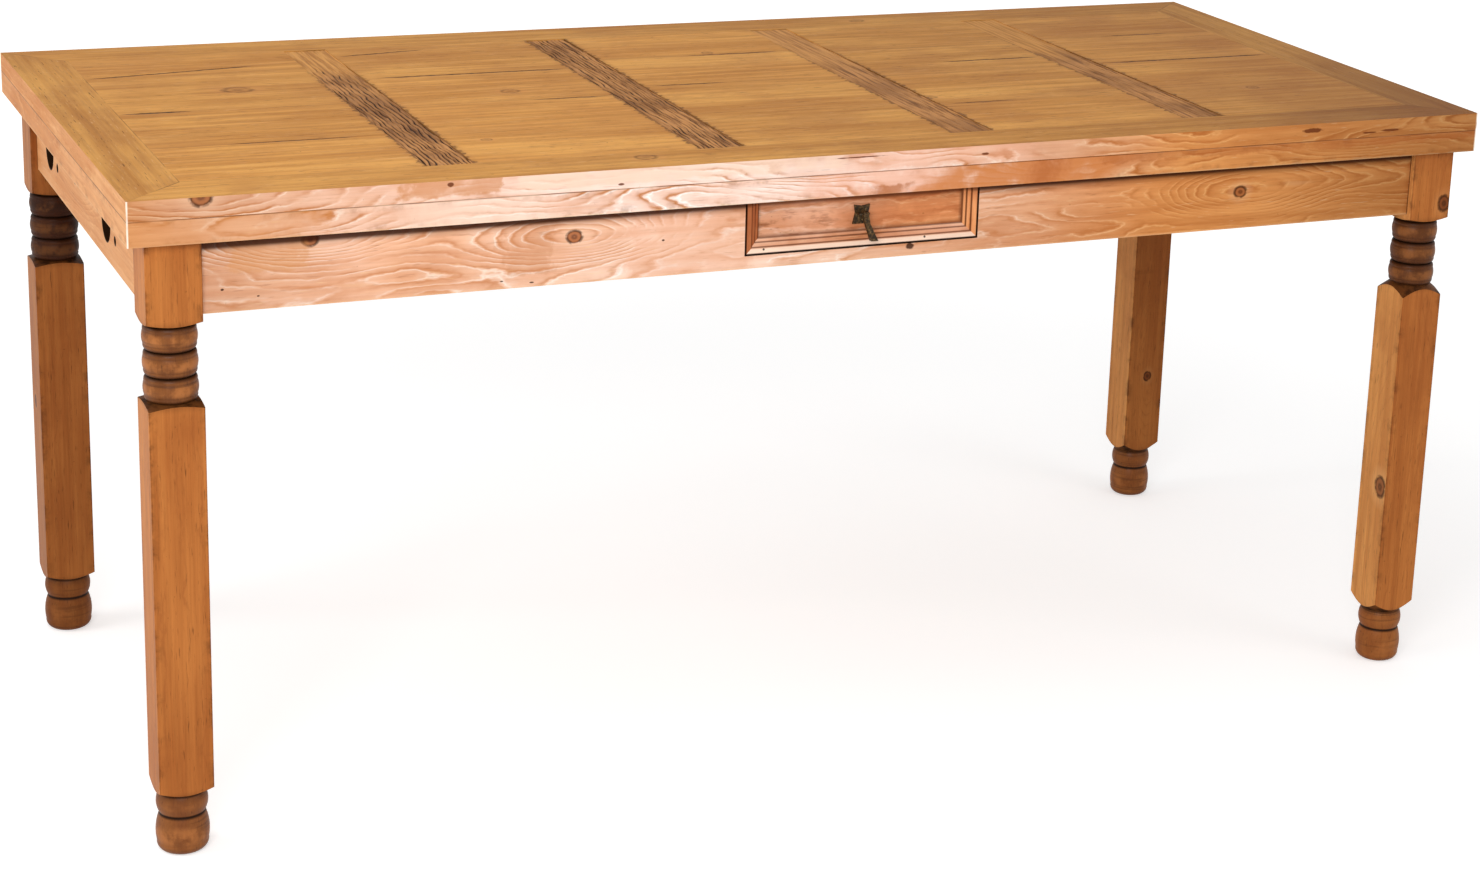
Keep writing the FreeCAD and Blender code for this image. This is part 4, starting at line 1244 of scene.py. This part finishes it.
class TABLE_OT_stage(bpy.types.Operator):
    """Set the floor, the soft lights, the white surroundings and the camera"""

    bl_idname = "tavern.set_stage"
    bl_label = "Set the stage"

    def execute(self, context):
        scene = context.scene
        scene.view_settings.view_transform = "Standard"
        self.floor(scene)
        self.surroundings(scene)
        for name, place, target, size, setting in SOFTBOXES:
            self.softbox(scene, name, place, target, size, getattr(table_settings(), setting))
        self.camera(scene)
        return {"FINISHED"}

    def floor(self, scene):
        """A pale floor that the camera and reflections see as nearly white, with the table's soft shadow on it."""
        mesh = bpy.data.meshes.new("floor")
        corners = [(x * FLOOR_REACH, y * FLOOR_REACH, 0.0) for x, y in ((-1, -1), (1, -1), (1, 1), (-1, 1))]
        mesh.from_pydata(corners, [], [(0, 1, 2, 3)])
        floor = bpy.data.objects.new("floor", mesh)
        scene.collection.objects.link(floor)
        material, g = new_material("pale_floor")
        material.cycles.emission_sampling = "NONE"
        diffuse = g.add("ShaderNodeBsdfDiffuse", {"Color": FLOOR_TONE})
        x, y = g.split(g.add("ShaderNodeTexCoord").outputs["Object"])[:2]
        level = g.scaled(g.ease(g.distance(x, y), *GLOW_ZONE), FAR_GLOW - FLOOR_GLOW, FLOOR_GLOW)
        glow = g.add("ShaderNodeEmission", {"Color": WHITE, "Strength": g.product(self.seen(g), level)})
        output(g, g.add("ShaderNodeAddShader", {0: diffuse.outputs[0], 1: glow.outputs[0]}))
        mesh.materials.append(material)

    def seen(self, g):
        """1 for rays of the camera, of reflections and through clear pieces, 0 for the light on the table."""
        path = g.add("ShaderNodeLightPath").outputs
        mirrored = g.math("MAXIMUM", path["Is Glossy Ray"], path["Is Transmission Ray"])
        return g.math("MAXIMUM", path["Is Camera Ray"], mirrored)

    def surroundings(self, scene):
        """A world that is seen as white and lights the table less than that."""
        world = bpy.data.worlds.new("white_surroundings")
        scene.world = world
        world.use_nodes = True
        world.node_tree.nodes.clear()
        g = Graph(world.node_tree)
        strength = g.scaled(self.seen(g), 1.0 - WORLD_LIGHT, WORLD_LIGHT)
        back = g.add("ShaderNodeBackground", {"Color": WHITE, "Strength": strength})
        g.put(g.add("ShaderNodeOutputWorld").inputs["Surface"], back.outputs[0])

    def softbox(self, scene, name, place, target, size, watts):
        """An area lamp that faces its target."""
        data = bpy.data.lights.new(name, "AREA")
        data.shape = "RECTANGLE"
        data.size, data.size_y = size
        data.energy = watts
        light = bpy.data.objects.new(name, data)
        light.location = place
        light.rotation_mode = "QUATERNION"
        light.rotation_quaternion = (Vector(target) - Vector(place)).to_track_quat("-Z", "Y")
        scene.collection.objects.link(light)

    def camera(self, scene):
        """The photograph's camera; the lens shift is there because the picture is a crop."""
        data = bpy.data.cameras.new("photo_camera")
        data.sensor_width = SENSOR
        data.lens = FOCAL_PIXELS * SENSOR / IMAGE_WIDTH
        data.shift_x = -(OPTICAL_CENTRE[0] - IMAGE_WIDTH / 2) / IMAGE_WIDTH
        data.shift_y = (OPTICAL_CENTRE[1] - IMAGE_HEIGHT / 2) / IMAGE_WIDTH
        camera = bpy.data.objects.new("photo_camera", data)
        camera.matrix_world = Matrix.Translation(CAMERA_PLACE) @ camera_turn().to_4x4()
        scene.collection.objects.link(camera)
        scene.camera = camera


class TABLE_PT_panel(bpy.types.Panel):
    """Sidebar panel with the table's settings and steps"""

    bl_idname = "TABLE_PT_panel"
    bl_label = "Tavern table"
    bl_space_type = "VIEW_3D"
    bl_region_type = "UI"
    bl_category = "Table"

    def draw(self, context):
        settings = table_settings()
        for name in TavernTableSettings.__annotations__:
            self.layout.prop(settings, name)
        for step in STEPS:
            self.layout.operator(step.bl_idname)


STEPS = (TABLE_OT_top, TABLE_OT_strips, TABLE_OT_legs, TABLE_OT_aprons, TABLE_OT_drawer, TABLE_OT_iron, TABLE_OT_inner,
         TABLE_OT_stage)
CLASSES = (TavernTableSettings, *STEPS, TABLE_PT_panel)


def register():
    for item in CLASSES:
        bpy.utils.register_class(item)
    bpy.types.Scene.tavern_table = bpy.props.PointerProperty(type=TavernTableSettings)


def unregister():
    del bpy.types.Scene.tavern_table
    for item in reversed(CLASSES):
        bpy.utils.unregister_class(item)


def main():
    register()
    bpy.ops.tavern.dress_top()
    bpy.ops.tavern.make_strips()
    bpy.ops.tavern.dress_legs()
    bpy.ops.tavern.dress_aprons()
    bpy.ops.tavern.dress_drawer()
    bpy.ops.tavern.dress_iron()
    bpy.ops.tavern.dress_inner()
    bpy.ops.tavern.set_stage()
    bpy.context.view_layer.update()


if __name__ == "__main__":
    main()
